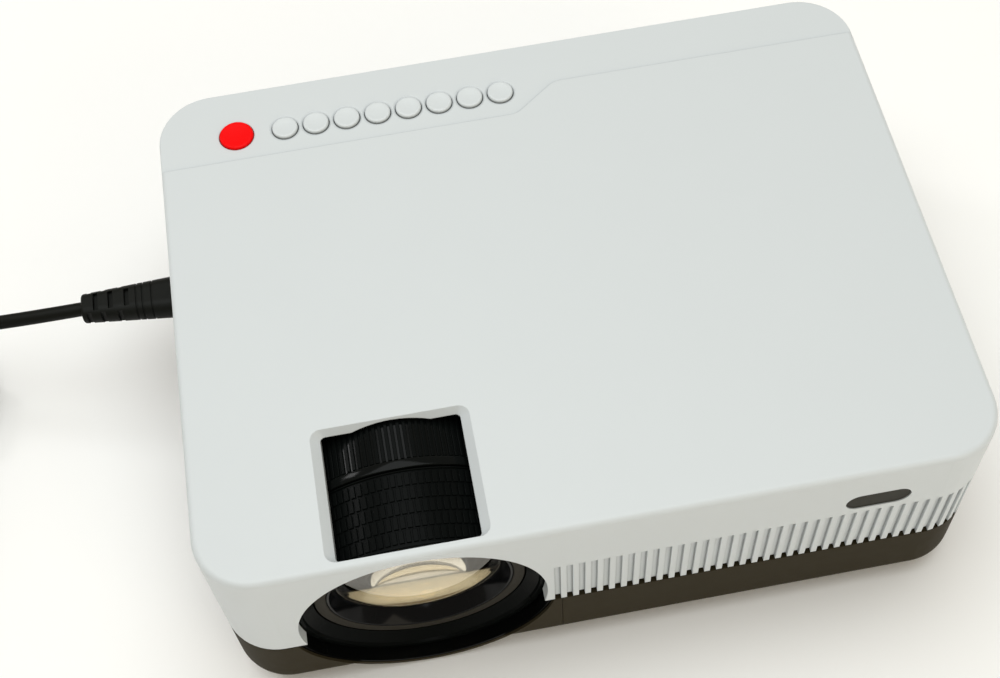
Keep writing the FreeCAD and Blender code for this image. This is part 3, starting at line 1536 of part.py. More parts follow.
# ================================================================ write every piece
def main():
    lower, fascia = lower_case_pieces()
    save("bottom_case", lower)
    save("lens_fascia", fascia)
    save("lens_trim", lens_trim())
    save("top_case", top_case())
    save("left_side_panel", left_side_panel())
    save("ir_window", ir_window())
    save("rubber_feet", rubber_feet())
    save("elevator_foot", elevator_foot())
    save("foot_wheel", foot_wheel())
    save("case_screws", case_screws())
    save("tripod_insert", tripod_insert())
    save("power_button", key_cap(power_x, key_y, power_radius))
    for number, (x, y) in enumerate(key_points(), 1):
        save("button_%d" % number, key_cap(x, y, key_radius))
    save("key_board", key_board())
    save("focus_ring", focus_ring())
    save("keystone_ring", keystone_ring())
    save("lens_mount", lens_mount())
    save("lens_barrel", lens_barrel())
    save("front_retaining_ring", front_retaining_ring())
    save("front_lens", front_lens())
    save("middle_lens", middle_lens())
    save("rear_lens", rear_lens())
    save("optical_housing", optical_housing())
    save("optical_cover", optical_cover())
    save("front_fresnel", fresnel(fresnel_front_offset))
    save("rear_fresnel", fresnel(fresnel_rear_offset))
    save("lcd_cradle", lcd_cradle())
    save("lcd_panel", lcd_panel())
    save("condenser_lens", condenser_lens())
    save("led_module", led_module())
    save("heat_sink", heat_sink())
    save("fan_frame", fan_frame())
    save("fan_rotor", fan_rotor())
    save("drive_base", drive_base())
    save("drive_cover", drive_cover())
    save("tray_rails", tray_rails())
    save("disc_tray", disc_tray())
    save("sled_rods", sled_rods())
    save("laser_sled", laser_sled())
    save("spindle_motor", spindle_motor())
    save("spindle_hub", spindle_hub())
    save("tray_bezel", tray_bezel())
    save("eject_button", eject_button())
    save("board_shield", board_shield())
    save("main_board", main_board())
    save("power_board", power_board())
    save("speakers", speakers())
    save("port_board", port_board())
    save("power_inlet", power_inlet())
    save("power_plug", power_plug())
    save("power_lead", power_lead())
    save("lead_coil", lead_coil())
    save("wall_plug", wall_plug())


main()
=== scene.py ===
"""Finished look of a table-top projector with a disc player.

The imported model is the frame. Its case, boards and mechanism keep their own meshes and get their
finishes here. The keys, the two lens rings, the barrel with its front glass, the sockets, the disc
hub, the screws and the mains lead are modelled here and stand for the plain solids of the frame.
"""
import math

import bmesh
import bpy
from bpy.props import FloatProperty, FloatVectorProperty, IntProperty, PointerProperty
from mathutils import Matrix, Vector


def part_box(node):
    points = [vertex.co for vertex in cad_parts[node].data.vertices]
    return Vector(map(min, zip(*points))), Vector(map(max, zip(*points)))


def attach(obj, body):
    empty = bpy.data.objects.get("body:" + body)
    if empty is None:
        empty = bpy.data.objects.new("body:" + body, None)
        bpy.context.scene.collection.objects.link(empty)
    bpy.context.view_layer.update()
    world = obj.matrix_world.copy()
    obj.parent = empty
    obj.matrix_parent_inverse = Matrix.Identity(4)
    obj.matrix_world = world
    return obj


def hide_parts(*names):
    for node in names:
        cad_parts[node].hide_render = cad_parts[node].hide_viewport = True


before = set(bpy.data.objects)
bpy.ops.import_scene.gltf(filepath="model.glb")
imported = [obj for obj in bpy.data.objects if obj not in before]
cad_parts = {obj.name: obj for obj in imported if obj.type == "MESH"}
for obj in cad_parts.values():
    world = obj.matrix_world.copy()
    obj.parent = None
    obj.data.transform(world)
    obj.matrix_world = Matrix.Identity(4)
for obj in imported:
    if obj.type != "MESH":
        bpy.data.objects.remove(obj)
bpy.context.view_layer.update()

bl_info = {
    "name": "Table-top projector",
    "version": (1, 0, 0),
    "blender": (4, 5, 0),
    "location": "3D View > Sidebar > Projector",
    "description": "Builds the finished look of a table-top projector with a disc player",
    "category": "Add Mesh",
}

MM = 0.001
# Angle in degrees from which an edge stays sharp, and steps of round shapes.
SHARP_ANGLE = 35.0
BORE_STEPS = 48
CORNER_STEPS = 8
DOME_STEPS = 24
AXIS_X = Vector((1, 0, 0))
AXIS_Y = Vector((0, 1, 0))
AXIS_Z = Vector((0, 0, 1))


# ---------------- places read from the frame
def middle(node):
    low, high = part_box(node)
    return Vector([(a + b) / 2 for a, b in zip(low, high)])


def corners(node):
    low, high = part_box(node)
    return Vector(low), Vector(high)


LENS_AXIS = Vector((middle("focus_ring").x, 0.0, middle("focus_ring").z))
DISC_AXIS = Vector((middle("spindle_hub").x, 0.0, 0.0))

# Sizes shared with the frame, in metres: screws and keys.
SCREW_HEAD_RADIUS = 2.8 * MM
SCREW_HEAD_HEIGHT = 2.2 * MM
SCREW_RADIUS = 1.35 * MM
MIDDLE_SCREW_X = 10.0 * MM
KEY_COUNT = 8
KEY_FLANGE = 1.1 * MM
KEY_FLANGE_THICKNESS = 1.0 * MM

# Lens rings, barrel and front glass.
RING_BORE = 38.9 * MM
MOUNT_BORE = 39.6 * MM
BAND_STEP = 0.4 * MM
BAND_LENGTH = 3.6 * MM
GLASS_RADIUS = 30.4 * MM
GLASS_BULGE = (6.0 * MM, 3.5 * MM)
GLASS_EDGE_RADIUS = 33.6 * MM
GLASS_SEAT = 8.4 * MM
BARREL_FLANGE_RADIUS = 38.4 * MM
BARREL_FLANGE_LENGTH = 4.0 * MM
BARREL_RADIUS = 36.6 * MM
BARREL_CONE_RADIUS = 31.6 * MM
RETAINER_RADIUS = 34.2 * MM
RETAINER_LENGTH = 6.0 * MM
RETAINER_BORE = (33.0 * MM, 30.6 * MM)

# Disc hub, plug blades, and the places where a moulding's finish changes.
HUB_RADIUS = 7.4 * MM
HUB_HEIGHT = 2.2 * MM
PLATTER_HEIGHT = 1.0 * MM
SPINDLE_RADIUS = 1.5 * MM
BLADE_LENGTH = 17.0 * MM
LED_BOARD_THICKNESS = 3.0 * MM
SPEAKER_MAGNET_DEPTH = 9.0 * MM
BOARD_THICKNESS = {"main_board": 1.6 * MM, "power_board": 1.6 * MM, "key_board": 1.2 * MM}

# Sockets of the port row: middles along the board from its front end, widths and heights.
SOCKETS = ((7.0 * MM, 15.2 * MM, 5.8 * MM), (22.0 * MM, 13.4 * MM, 6.0 * MM))
JACKS = ((34.5 * MM, 6.4 * MM), (45.0 * MM, 6.4 * MM))
SOCKET_DEPTH = 12.6 * MM
SOCKET_POCKET_DEPTH = 8.6 * MM
SOCKET_WALL = 0.8 * MM
PORT_BOARD_SETBACK = 2.4 * MM
PORT_BOARD_LENGTH = 52.0 * MM
PORT_BOARD_THICKNESS = 1.6 * MM
JACK_BORE_RADIUS = 1.8 * MM
JACK_BORE_DEPTH = 10.6 * MM

# Fine detail that the frame leaves out.
SCREW_FACE_SHARE = 0.8
SCREW_CHAMFER = 0.5 * MM
SCREW_TIP = 1.5 * MM
RECESS_REACH = 1.4 * MM
RECESS_HALF_WIDTH = 0.42 * MM
RECESS_DEPTH = 1.1 * MM
KEY_LAND = 0.15 * MM
KEY_EDGE_STEPS = 6
KEY_SCOOP_STEPS = 8
RING_WALL = 2.6 * MM
RING_STEP = 3.5 * MM
FOCUS_STEP = 5.6 * MM
FOCUS_CONE_LENGTH = 4.0 * MM
# Front lip of the focus ring in mm: in from its outer radius, along from its front edge.
FOCUS_LIP = ((3.2, 1.0), (2.8, 0.0), (0.5, 0.0), (0.14, 0.14), (0.0, 0.5), (0.0, 0.9))
# Ends of the focus ring's groove, its rear lip, and the rows of bricks or ribs, from the edges.
GROOVE_ENDS = (1.1 * MM, 0.7 * MM)
REAR_LIP = (0.5 * MM, 0.2 * MM)
BRICK_ENDS = (1.35 * MM, 0.95 * MM)
RIB_ENDS = (0.25 * MM, 0.1 * MM)
BRICK_EASE = 0.16 * MM
RIB_EASE = 0.22 * MM
BAR_ROOT = 0.5 * MM
BAND_EASE = 0.35 * MM
# Rounding of the band's edges: inward and along, in shares of BAND_EASE.
BAND_ROUNDING = ((2, 0), (0.6, 0.3), (0.2, 0.9), (0, 2))
BARREL_EASE = 0.3 * MM
RETAINER_EASE = 0.2 * MM
BORE_PLAY = 0.1 * MM
FACE_GAP = 0.02 * MM
SOCKET_EASE = 0.15 * MM
SHELL_EASE = 0.18 * MM
TONGUE_THICKNESS = 1.0 * MM
TONGUE_DROP = 0.1 * MM
TONGUE_START = 1.4 * MM
TONGUE_MARGIN = 2.2 * MM
COLLAR_WIDTH = 0.9 * MM
COLLAR_STAND = (0.1 * MM, 0.01 * MM)
PLATTER_CHAMFER = 0.3 * MM
HUB_CHAMFER = (0.9 * MM, 0.8 * MM)
# Dimple in the hub: radius at its rim, radius of its floor, depth.
HUB_DIMPLE = (2.6 * MM, 2.2 * MM, 0.5 * MM)
HUB_BALL_RADIUS = 0.8 * MM
HUB_BALL_INSET = 0.55 * MM
HUB_BALL_HEIGHT = 1.0 * MM
PAD_BAND = (3.6 * MM, 0.9 * MM)
PAD_THICKNESS = 0.12 * MM

# Route of the mains cable from its plug to the coil, and its last stretch to the wall plug.
LEAD_ROUTE = [(-0.184, 0.0475, 0.0536), (-0.206, 0.0475, 0.0536), (-0.230, 0.0525, 0.0475),
              (-0.254, 0.056, 0.0355), (-0.277, 0.055, 0.0225), (-0.299, 0.048, 0.0115),
              (-0.3185, 0.033, 0.0046), (-0.3313, 0.012, 0.0029), (-0.3313, -0.012, 0.0029)]
LEAD_TAIL = [(-0.2507, 0.002, 0.0087), (-0.2507, 0.0125, 0.0087)]
COIL_CENTRE = (-0.291, -0.012, 0.0)
COIL_MEAN_RADIUS = 34.5 * MM
COIL_TURNS = 5.5
COIL_STEPS = 16
# Where the cable changes its track or layer: (turn, tracks out from the middle, layer).
COIL_TRACKS = [(0.0, 1, 0), (0.9, 1, 0), (1.0, 0, 0), (1.9, 0, 0), (2.0, -1, 0), (2.7, -1, 0),
               (2.9, -1, 1), (3.55, -1, 1), (3.65, 0, 1), (4.55, 0, 1), (4.65, 1, 1), (5.5, 1, 1)]
TIE_ANGLE = math.radians(-60)
TIE_WIDTH = 11.0 * MM
TIE_THICKNESS = 0.8 * MM
TIE_PLAY = 0.15 * MM
TIE_LIFT_SPREAD = 12

# Camera, and area lamps that look at the origin: name, place, side, watts, colour.
CAMERA_PLACE = (-0.05295, -0.31629, 0.57840)
CAMERA_TURNS = ((-6.0424, "Z"), (90 - 58.7468, "X"), (-4.7403, "Z"))
CAMERA_LENS = 56.055
CAMERA_SHIFT = (-0.00407, -0.00226)
LAMPS = (("overhead_light", (-0.15, 0.15, 2.2), 2.0, 33.5, (0.94, 0.985, 1.0)),
         ("window_light", (-1.3, 0.9, 1.3), 0.35, 3.2, (1.0, 1.0, 1.0)),
         ("front_light", (0.9, -1.7, 0.9), 1.2, 7.5, (1.0, 0.90, 0.72)))
SKY_COLOUR = (1.0, 0.925, 0.80, 1.0)
SKY_STRENGTH = 0.44
FLOOR_REACH = 4.0

# Colours that no user changes.
BOARD_GREEN = (0.012, 0.11, 0.04)
BOARD_PARTS = (0.03, 0.03, 0.032)
PLUG_BLACK = (0.004, 0.0048, 0.0035)


# ---------------- sizes and colours a user may change
class ProjectorSizes(bpy.types.PropertyGroup):
    """Sizes of the modelled pieces."""
    key_edge: FloatProperty(
        name="Key edge", description="Radius of a key's upper edge", default=0.75 * MM, unit="LENGTH")
    key_scoop: FloatProperty(
        name="Key scoop", description="Depth of the shallow scoop in a key", default=0.25 * MM,
        unit="LENGTH")
    knurl_gap: FloatProperty(
        name="Knurl gap", description="Groove between two bricks", default=0.62 * MM, unit="LENGTH")
    rib_share: FloatProperty(
        name="Rib share", description="Part of the pitch that a rib fills", default=0.62,
        min=0.1, max=0.9)
    knurl_rows: IntProperty(
        name="Knurl rows", description="Rows of bricks along the focus ring", default=5, min=1)
    knurl_count: IntProperty(
        name="Knurl count", description="Bricks in one row of the focus ring", default=118, min=12)
    knurl_height: FloatProperty(
        name="Knurl height", description="How far a brick stands out", default=0.55 * MM, unit="LENGTH")
    rib_count: IntProperty(
        name="Rib count", description="Ribs round the keystone ring", default=132, min=12)
    rib_height: FloatProperty(
        name="Rib height", description="How far a rib stands out", default=0.6 * MM, unit="LENGTH")
    lead_diameter: FloatProperty(
        name="Lead diameter", description="Diameter of the mains lead", default=5.8 * MM, unit="LENGTH")
    lead_length: FloatProperty(
        name="Lead length", description="Length of the cable between its plugs", default=1.42,
        unit="LENGTH")


class ProjectorColours(bpy.types.PropertyGroup):
    """Colours of the finishes."""
    white: FloatVectorProperty(
        name="White case", description="Upper case and keys", subtype="COLOR", min=0, max=1,
        default=(0.620, 0.660, 0.680))
    taupe: FloatVectorProperty(
        name="Lower case", description="Dark lower case", subtype="COLOR", min=0, max=1,
        default=(0.034, 0.0275, 0.0150))
    red: FloatVectorProperty(
        name="Power key", description="Power key", subtype="COLOR", min=0, max=1,
        default=(0.90, 0.0, 0.001))
    black: FloatVectorProperty(
        name="Rings", description="Lens rings and small black mouldings", subtype="COLOR", min=0, max=1,
        default=(0.0032, 0.0040, 0.0038))
    smoke: FloatVectorProperty(
        name="Receiver window", description="Smoked receiver window", subtype="COLOR", min=0, max=1,
        default=(0.0192, 0.0174, 0.0102))


def sizes():
    return bpy.context.scene.projector_sizes


# ---------------- node helpers
def set_inputs(tree, node, values):
    """Set a node's inputs, or link them where the value is an output or a node, whose first
    output is then taken."""
    for key, value in values.items():
        if isinstance(value, bpy.types.Node):
            value = value.outputs[0]
        if isinstance(value, bpy.types.NodeSocket):
            tree.links.new(value, node.inputs[key])
        else:
            node.inputs[key].default_value = value


def add_node(tree, kind, inputs=None, **settings):
    """A node with its settings made and its inputs set or linked."""
    made = tree.nodes.new(kind)
    for key, value in settings.items():
        setattr(made, key, value)
    set_inputs(tree, made, inputs or {})
    return made


def maths(tree, operation, first, second=0.0):
    return add_node(tree, "ShaderNodeMath", {0: first, 1: second}, operation=operation)


def noise(tree, place, scale, detail):
    return add_node(tree, "ShaderNodeTexNoise", {"Vector": place, "Scale": scale, "Detail": detail})


def spread(tree, value, low, high):
    """A value between 0 and 1 spread from low to high."""
    return add_node(tree, "ShaderNodeMapRange", {"Value": value, "To Min": low, "To Max": high})


def mix_colours(tree, factor, *pair):
    """Mix of two colours, each a tuple of three channels or another node's output."""
    first, second = [(*part, 1.0) if isinstance(part, tuple) else part for part in pair]
    made = add_node(tree, "ShaderNodeMix", {0: factor, 6: first, 7: second}, data_type="RGBA")
    return made.outputs[2]


def bumped(tree, height, strength, depth, edge=0.0):
    """Normal of a bumpy face, its edges eased where edge is given; depth and edge in mm."""
    inputs = {"Height": height, "Strength": strength, "Distance": depth * MM}
    if edge:
        inputs["Normal"] = add_node(tree, "ShaderNodeBevel", {"Radius": edge * MM}, samples=4)
    return add_node(tree, "ShaderNodeBump", inputs)


def scaled(tint, factor):
    return tuple(min(1.0, channel * factor) for channel in tint)


# ---------------- kinds of finish
# Materials made so far, by name.
FINISHES = {}
# Painted shade in creases, as a share of the colour, and the ambient-occlusion openness between which
# it fades in.
PAINTED_CREASE_SHADE = 0.45
PAINTED_SHADE_OPENNESS = (0.35, 0.95)


def new_material(name):
    """An empty material, kept in FINISHES: (its tree, its surface shader, object coordinates)."""
    material = FINISHES[name] = bpy.data.materials.new(name)
    material.use_nodes = True
    tree = material.node_tree
    tree.nodes.clear()
    surface = add_node(tree, "ShaderNodeBsdfPrincipled")
    add_node(tree, "ShaderNodeOutputMaterial", {"Surface": surface})
    return tree, surface, add_node(tree, "ShaderNodeTexCoord").outputs["Object"]


def painted_crease_shade(tree, tint, shade, reach):
    """Painted shade: turn a tint to a shade where faces meet within reach, in mm, by ambient occlusion.
    """
    occlusion = add_node(tree, "ShaderNodeAmbientOcclusion", {"Distance": reach * MM}, samples=8)
    depth = add_node(tree, "ShaderNodeMapRange", {
        "Value": occlusion.outputs["AO"], "From Min": PAINTED_SHADE_OPENNESS[0],
        "From Max": PAINTED_SHADE_OPENNESS[1]})
    return mix_colours(tree, depth, shade, tint)


def moulded(name, base, roughness, grain, depth, edge, mottle, specular, painted_shade_reach=0.0):
    """Moulded plastic: spark-eroded grain, faint cloudiness, eased edges and, where a reach is given,
    painted shade in creases. Lengths in mm.
    """
    tree, surface, place = new_material(name)
    cloud = noise(tree, place, 38.0, 5.0)
    tint = mix_colours(tree, cloud, scaled(base, 1 - mottle), scaled(base, 1 + mottle))
    # Painted shade: the colour darkens in creases, from ambient occlusion.
    if painted_shade_reach:
        tint = painted_crease_shade(tree, tint, scaled(base, PAINTED_CREASE_SHADE), painted_shade_reach)
    wear = noise(tree, place, 210.0, 3.0)
    pits = noise(tree, place, 1 / (grain * MM), 2.0)
    set_inputs(tree, surface, {
        "Base Color": tint, "Roughness": spread(tree, wear, roughness - 0.05, roughness + 0.05),
        "Normal": bumped(tree, pits, 0.6, depth, edge), "Specular IOR Level": specular})


def metal(name, base, roughness, brushed=0.0):
    """Bare metal; brushed draws fine lines along X."""
    tree, surface, place = new_material(name)
    stretch = add_node(tree, "ShaderNodeMapping", {"Vector": place, "Scale": (1.0, 22.0, 22.0)})
    lines = noise(tree, stretch, 260.0, 4.0)
    set_inputs(tree, surface, {
        "Base Color": mix_colours(tree, lines, scaled(base, 0.9), scaled(base, 1.06)),
        "Roughness": spread(tree, lines, roughness - 0.06, roughness + 0.08 + brushed * 0.1),
        "Normal": bumped(tree, lines, 0.15 + 0.4 * brushed, 0.01, edge=0.15), "Metallic": 1.0})


def two_tone(name, axis, height, tints, roughness, metallic=None):
    """Two finishes on one moulding, parted at a height along an axis in metres; each pair of
    values is given below and above it."""
    tree, surface, place = new_material(name)
    parts = add_node(tree, "ShaderNodeSeparateXYZ", {"Vector": place}).outputs
    side = maths(tree, "GREATER_THAN", parts[axis], height)
    grain = noise(tree, place, 700.0, 3.0)
    grained = [mix_colours(tree, grain, scaled(tint, 0.88), scaled(tint, 1.12)) for tint in tints]
    set_inputs(tree, surface, {
        "Base Color": mix_colours(tree, side, *grained), "Roughness": spread(tree, side, *roughness),
        "Normal": bumped(tree, grain, 0.3, 0.01)})
    if metallic:
        set_inputs(tree, surface, {"Metallic": spread(tree, side, *metallic)})


def circuit_board(name):
    """Green lacquer over fine copper tracks."""
    tree, surface, place = new_material(name)
    tracks = add_node(tree, "ShaderNodeTexBrick", {
        "Vector": place, "Color1": (0.012, 0.10, 0.035, 1), "Color2": (0.016, 0.13, 0.045, 1),
        "Mortar": (0.05, 0.22, 0.09, 1), "Scale": 230.0, "Mortar Size": 0.06}).outputs
    set_inputs(tree, surface, {"Base Color": tracks["Color"], "Roughness": 0.32,
                               "Normal": bumped(tree, tracks["Fac"], 0.3, 0.02)})


def clear_glass(name, tint, roughness=0.02, ior=1.52, sheen=0.0, mirror=0.0):
    """Clear optical glass, mirror part silvered by its coating; a thin haze breaks its gloss."""
    tree, surface, place = new_material(name)
    haze = noise(tree, place, 90.0, 6.0)
    set_inputs(tree, surface, {
        "Base Color": (*tint, 1.0), "Roughness": spread(tree, haze, roughness, roughness + 0.03),
        "Transmission Weight": 1.0, "Metallic": mirror, "IOR": ior, "Coat Weight": sheen,
        "Coat Roughness": 0.03})


# ---------------- finishes
def make_finishes(colours):
    """Make every finish of the part."""
    white, black = colours.white, colours.black
    # Mouldings: name, colour, roughness, grain, depth, edge, mottle, specular, reach of painted shade
    # in creases.
    for moulding in (
            ("white_case", white, 0.42, 0.28, 0.004, 0.3, 0.008, 0.5, 1.0),
            ("white_key", scaled(white, 1.03), 0.36, 0.3, 0.002, 0.1, 0.006, 0.5, 1.2),
            ("taupe_case", colours.taupe, 0.55, 0.35, 0.02, 0.3, 0.05, 0.04),
            ("red_key", colours.red, 0.4, 0.3, 0.002, 0.1, 0.01, 0.1),
            ("black_ring", black, 0.24, 0.3, 0.006, 0.08, 0.1, 0.03),
            ("black_plastic", black, 0.5, 0.3, 0.01, 0.2, 0.1, 0.2),
            ("polished_ring", black, 0.12, 0.5, 0.001, 0.1, 0.03, 0.09),
            ("barrel_grey", (0.030, 0.027, 0.021), 0.6, 0.2, 0.01, 0.1, 0.03, 0.15),
            ("gloss_black", (0.003, 0.0033, 0.004), 0.12, 0.5, 0.001, 0.05, 0.03, 0.12),
            ("ring_black", (0.0022, 0.0025, 0.0025), 0.22, 0.5, 0.001, 0.05, 0.03, 0.03),
            ("receiver_smoke", colours.smoke, 0.3, 0.5, 0.001, 0.1, 0.03, 0.06),
            ("dark_grey", (0.035, 0.035, 0.036), 0.5, 0.3, 0.012, 0.25, 0.03, 0.5),
            ("tray_grey", (0.10, 0.10, 0.105), 0.45, 0.3, 0.01, 0.25, 0.03, 0.5),
            ("foot_rubber", (0.016, 0.016, 0.016), 0.75, 0.5, 0.03, 0.3, 0.03, 0.5),
            ("cable_sheath", (0.004, 0.0045, 0.003), 0.5, 0.8, 0.006, 0.05, 0.03, 0.12),
            ("plug_moulding", PLUG_BLACK, 0.5, 0.4, 0.012, 0.35, 0.03, 0.14),
            ("strap", (0.02, 0.02, 0.02), 0.85, 0.7, 0.15, 0.1, 0.2, 0.5),
            ("white_insulator", (0.62, 0.62, 0.60), 0.45, 0.3, 0.01, 0.05, 0.03, 0.5),
            ("jack_ring", (0.75, 0.50, 0.03), 0.35, 0.3, 0.01, 0.05, 0.03, 0.5)):
        moulded(*moulding)
    metal("zinc_steel", (0.56, 0.57, 0.58), 0.36, brushed=0.5)
    metal("bright_steel", (0.72, 0.72, 0.73), 0.16)
    metal("bare_aluminium", (0.74, 0.74, 0.75), 0.34, brushed=0.8)
    metal("turned_brass", (0.72, 0.50, 0.20), 0.26)
    clear_glass("front_glass", (1.0, 0.94, 0.80), ior=1.62, mirror=0.08)
    clear_glass("middle_glass", (1.0, 0.93, 0.78), ior=1.62, mirror=0.85)
    clear_glass("lens_glass", (1.0, 0.97, 0.92), sheen=0.3)
    clear_glass("fresnel_plastic", (0.95, 0.97, 1.0), roughness=0.12, ior=1.49)
    circuit_board("circuit_board")
    for board, thickness in BOARD_THICKNESS.items():
        two_tone(board, "Z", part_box(board)[0][2] + thickness + FACE_GAP, (BOARD_GREEN, BOARD_PARTS),
                 (0.32, 0.45))
    two_tone("wall_plug", "Y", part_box("wall_plug")[1][1] - BLADE_LENGTH,
             (PLUG_BLACK, (0.62, 0.61, 0.58)), (0.5, 0.22), (0.0, 1.0))
    two_tone("led_module", "Y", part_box("led_module")[1][1] - LED_BOARD_THICKNESS - FACE_GAP,
             ((0.85, 0.75, 0.30), (0.70, 0.71, 0.72)), (0.2, 0.4), (0.0, 0.8))
    two_tone("speaker", "Y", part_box("speakers")[1][1] - SPEAKER_MAGNET_DEPTH,
             ((0.015, 0.015, 0.016), (0.22, 0.22, 0.23)), (0.6, 0.35), (0.0, 1.0))


def finish(name):
    """A finish by name; all of them are made the first time."""
    if name not in FINISHES:
        make_finishes(bpy.context.scene.projector_colours)
    return FINISHES[name]


def dress(name, *nodes):
    """Give frame nodes a finish."""
    for node in nodes:
        for material_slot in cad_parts[node].material_slots:
            material_slot.material = finish(name)


def seat(piece, body, slot, *nodes):
    """Fix a piece to its body and let it stand for frame nodes; slot is not used."""
    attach(piece, body)
    if nodes:
        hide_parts(*nodes)
    return piece


# ---------------- mesh helpers
def add_object(name, data):
    """A new object at the origin of the scene."""
    made = bpy.data.objects.new(name, data)
    bpy.context.scene.collection.objects.link(made)
    return made


def finish_mesh(name, mesh, look, sharp):
    """An object from a mesh, with smooth faces and its sharp edges kept."""
    made = add_object(name, mesh)
    mesh.shade_smooth()
    mesh.set_sharp_from_angle(angle=math.radians(sharp))
    if look:
        mesh.materials.clear()
        mesh.materials.append(finish(look))
    return made


def close_build(name, build, look, sharp):
    """A finished object from a bmesh, its faces turned outward."""
    bmesh.ops.recalc_face_normals(build, faces=build.faces)
    mesh = bpy.data.meshes.new(name)
    build.to_mesh(mesh)
    build.free()
    return finish_mesh(name, mesh, look, sharp)


def applied(piece):
    """Plain mesh of a piece with its modifiers applied."""
    bpy.context.view_layer.update()
    depsgraph = bpy.context.evaluated_depsgraph_get()
    return bpy.data.meshes.new_from_object(piece.evaluated_get(depsgraph))


def join_rows(build, rows, closed=False):
    """Faces between closed rows of vertices; closed also joins the last row to the first."""
    for near, far in zip(rows, rows[1:] + rows[:1] if closed else rows[1:]):
        for index in range(len(near)):
            after = (index + 1) % len(near)
            build.faces.new((near[index], far[index], far[after], near[after]))


def block(name, low, high, look, mouth=None):
    """Box between two corners; mouth (wall, depth) sinks a pocket into its -X face."""
    low, high = Vector(low), Vector(high)
    build = bmesh.new()
    bmesh.ops.create_cube(build, size=1.0)
    bmesh.ops.scale(build, vec=high - low, verts=build.verts)
    bmesh.ops.translate(build, vec=(high + low) / 2, verts=build.verts)
    if mouth:
        wall, depth = mouth
        face = min(build.faces, key=lambda side: side.calc_center_median().x)
        bmesh.ops.inset_region(build, faces=[face], thickness=wall, use_even_offset=True)
        floor = bmesh.ops.extrude_discrete_faces(build, faces=[face])["faces"][0]
        bmesh.ops.translate(build, vec=(depth, 0, 0), verts=floor.verts)
    return close_build(name, build, look, sharp=30.0)


def bored_block(name, low, high, radius, depth, look):
    """Square block along X with a round blind hole in the middle of its -X face."""
    (x0, y0, z0), (x1, y1, z1) = low, high
    middle_y, middle_z, half = (y0 + y1) / 2, (z0 + z1) / 2, (y1 - y0) / 2
    build = bmesh.new()
    rows = []
    for reach, x in ((half, x1), (half, x0), (radius, x0), (radius, x0 + depth)):
        row = []
        for number in range(BORE_STEPS):
            angle = math.tau * (number + 0.5) / BORE_STEPS
            across, up = math.cos(angle), math.sin(angle)
            stretch = reach if reach == radius else reach / max(abs(across), abs(up))
            row.append(build.verts.new((x, middle_y + across * stretch, middle_z + up * stretch)))
        rows.append(row)
    join_rows(build, rows)
    build.faces.new(rows[0])
    build.faces.new(rows[-1])
    return close_build(name, build, look, sharp=30.0)


def lathe(name, outline, centre, along, look, steps, sharp=SHARP_ANGLE):
    """Turned piece: a closed outline of (radius, distance along) about an axis through centre."""
    across = AXIS_Z if along.x else AXIS_X
    upward = along.cross(across)
    build = bmesh.new()
    rings = []
    for turn in range(steps):
        angle = 2 * math.pi * turn / steps
        out = across * math.cos(angle) + upward * math.sin(angle)
        rings.append([build.verts.new(centre + out * r + along * d) for r, d in outline])
    join_rows(build, rings, closed=True)
    bmesh.ops.remove_doubles(build, verts=build.verts, dist=0.001 * MM)
    return close_build(name, build, look, sharp)


def rounded_profile(points, radius):
    """Closed outline with every corner eased by an arc of about the given radius."""
    outline = []
    for index, point in enumerate(points):
        corner = Vector(point)
        back = Vector(points[index - 1]) - corner
        ahead = Vector(points[(index + 1) % len(points)]) - corner
        reach = min(radius, back.length * 0.45, ahead.length * 0.45)
        start = corner + back.normalized() * reach
        end = corner + ahead.normalized() * reach
        for step in range(CORNER_STEPS + 1):
            t = step / CORNER_STEPS
            outline.append((1 - t) ** 2 * start + 2 * t * (1 - t) * corner + t ** 2 * end)
    return outline


def dome_points(radius, height, base, direction):
    """Outline points of a shallow dome from its rim to the axis."""
    sphere = (radius * radius + height * height) / (2 * height)
    points = []
    for step in range(DOME_STEPS + 1):
        r = radius * (1 - step / DOME_STEPS)
        rise = math.sqrt(sphere * sphere - r * r) - (sphere - height)
        points.append((r, base + direction * rise))
    return points


def bevelled(piece, width):
    """Ease the edges of a piece."""
    bevel = piece.modifiers.new("eased edges", "BEVEL")
    bevel.width = width
    bevel.segments = 2
    bevel.limit_method = "ANGLE"
    return piece


# ---------------- geometry node helpers
def new_tree(name, inputs):
    """A geometry tree with named inputs, name -> (kind of socket, default), and one output."""
    tree = bpy.data.node_groups.new(name, "GeometryNodeTree")
    tree.interface.new_socket("Geometry", in_out="INPUT", socket_type="NodeSocketGeometry")
    for label, (kind, default) in inputs.items():
        socket = tree.interface.new_socket(label, in_out="INPUT", socket_type="NodeSocket" + kind)
        if default is not None:
            socket.default_value = default
    tree.interface.new_socket("Geometry", in_out="OUTPUT", socket_type="NodeSocketGeometry")
    return tree, add_node(tree, "NodeGroupInput").outputs, add_node(tree, "NodeGroupOutput")


def copy_onto(tree, points, shape, material, output, **more):
    """Copy a shape onto points, realize the copies, set their finish and end the tree."""
    inputs = {"Points": points, "Instance": shape, **more}
    copies = add_node(tree, "GeometryNodeInstanceOnPoints", inputs)
    solid = add_node(tree, "GeometryNodeRealizeInstances", {"Geometry": copies})
    coloured = add_node(tree, "GeometryNodeSetMaterial", {"Geometry": solid, "Material": material})
    set_inputs(tree, output, {"Geometry": coloured})


def run_tree(name, tree, values, sharp=SHARP_ANGLE):
    """Plain mesh made by a tree with these values for its named inputs."""
    carrier = add_object(name + "_maker", bpy.data.meshes.new(name + "_maker"))
    modifier = carrier.modifiers.new("maker", "NODES")
    modifier.node_group = tree
    for item in tree.interface.items_tree:
        if item.in_out == "INPUT" and item.name in values:
            modifier[item.identifier] = values[item.name]
    mesh = applied(carrier)
    carrier.modifiers.remove(modifier)
    bpy.data.objects.remove(carrier)
    mesh.name = name
    return finish_mesh(name, mesh, None, sharp)


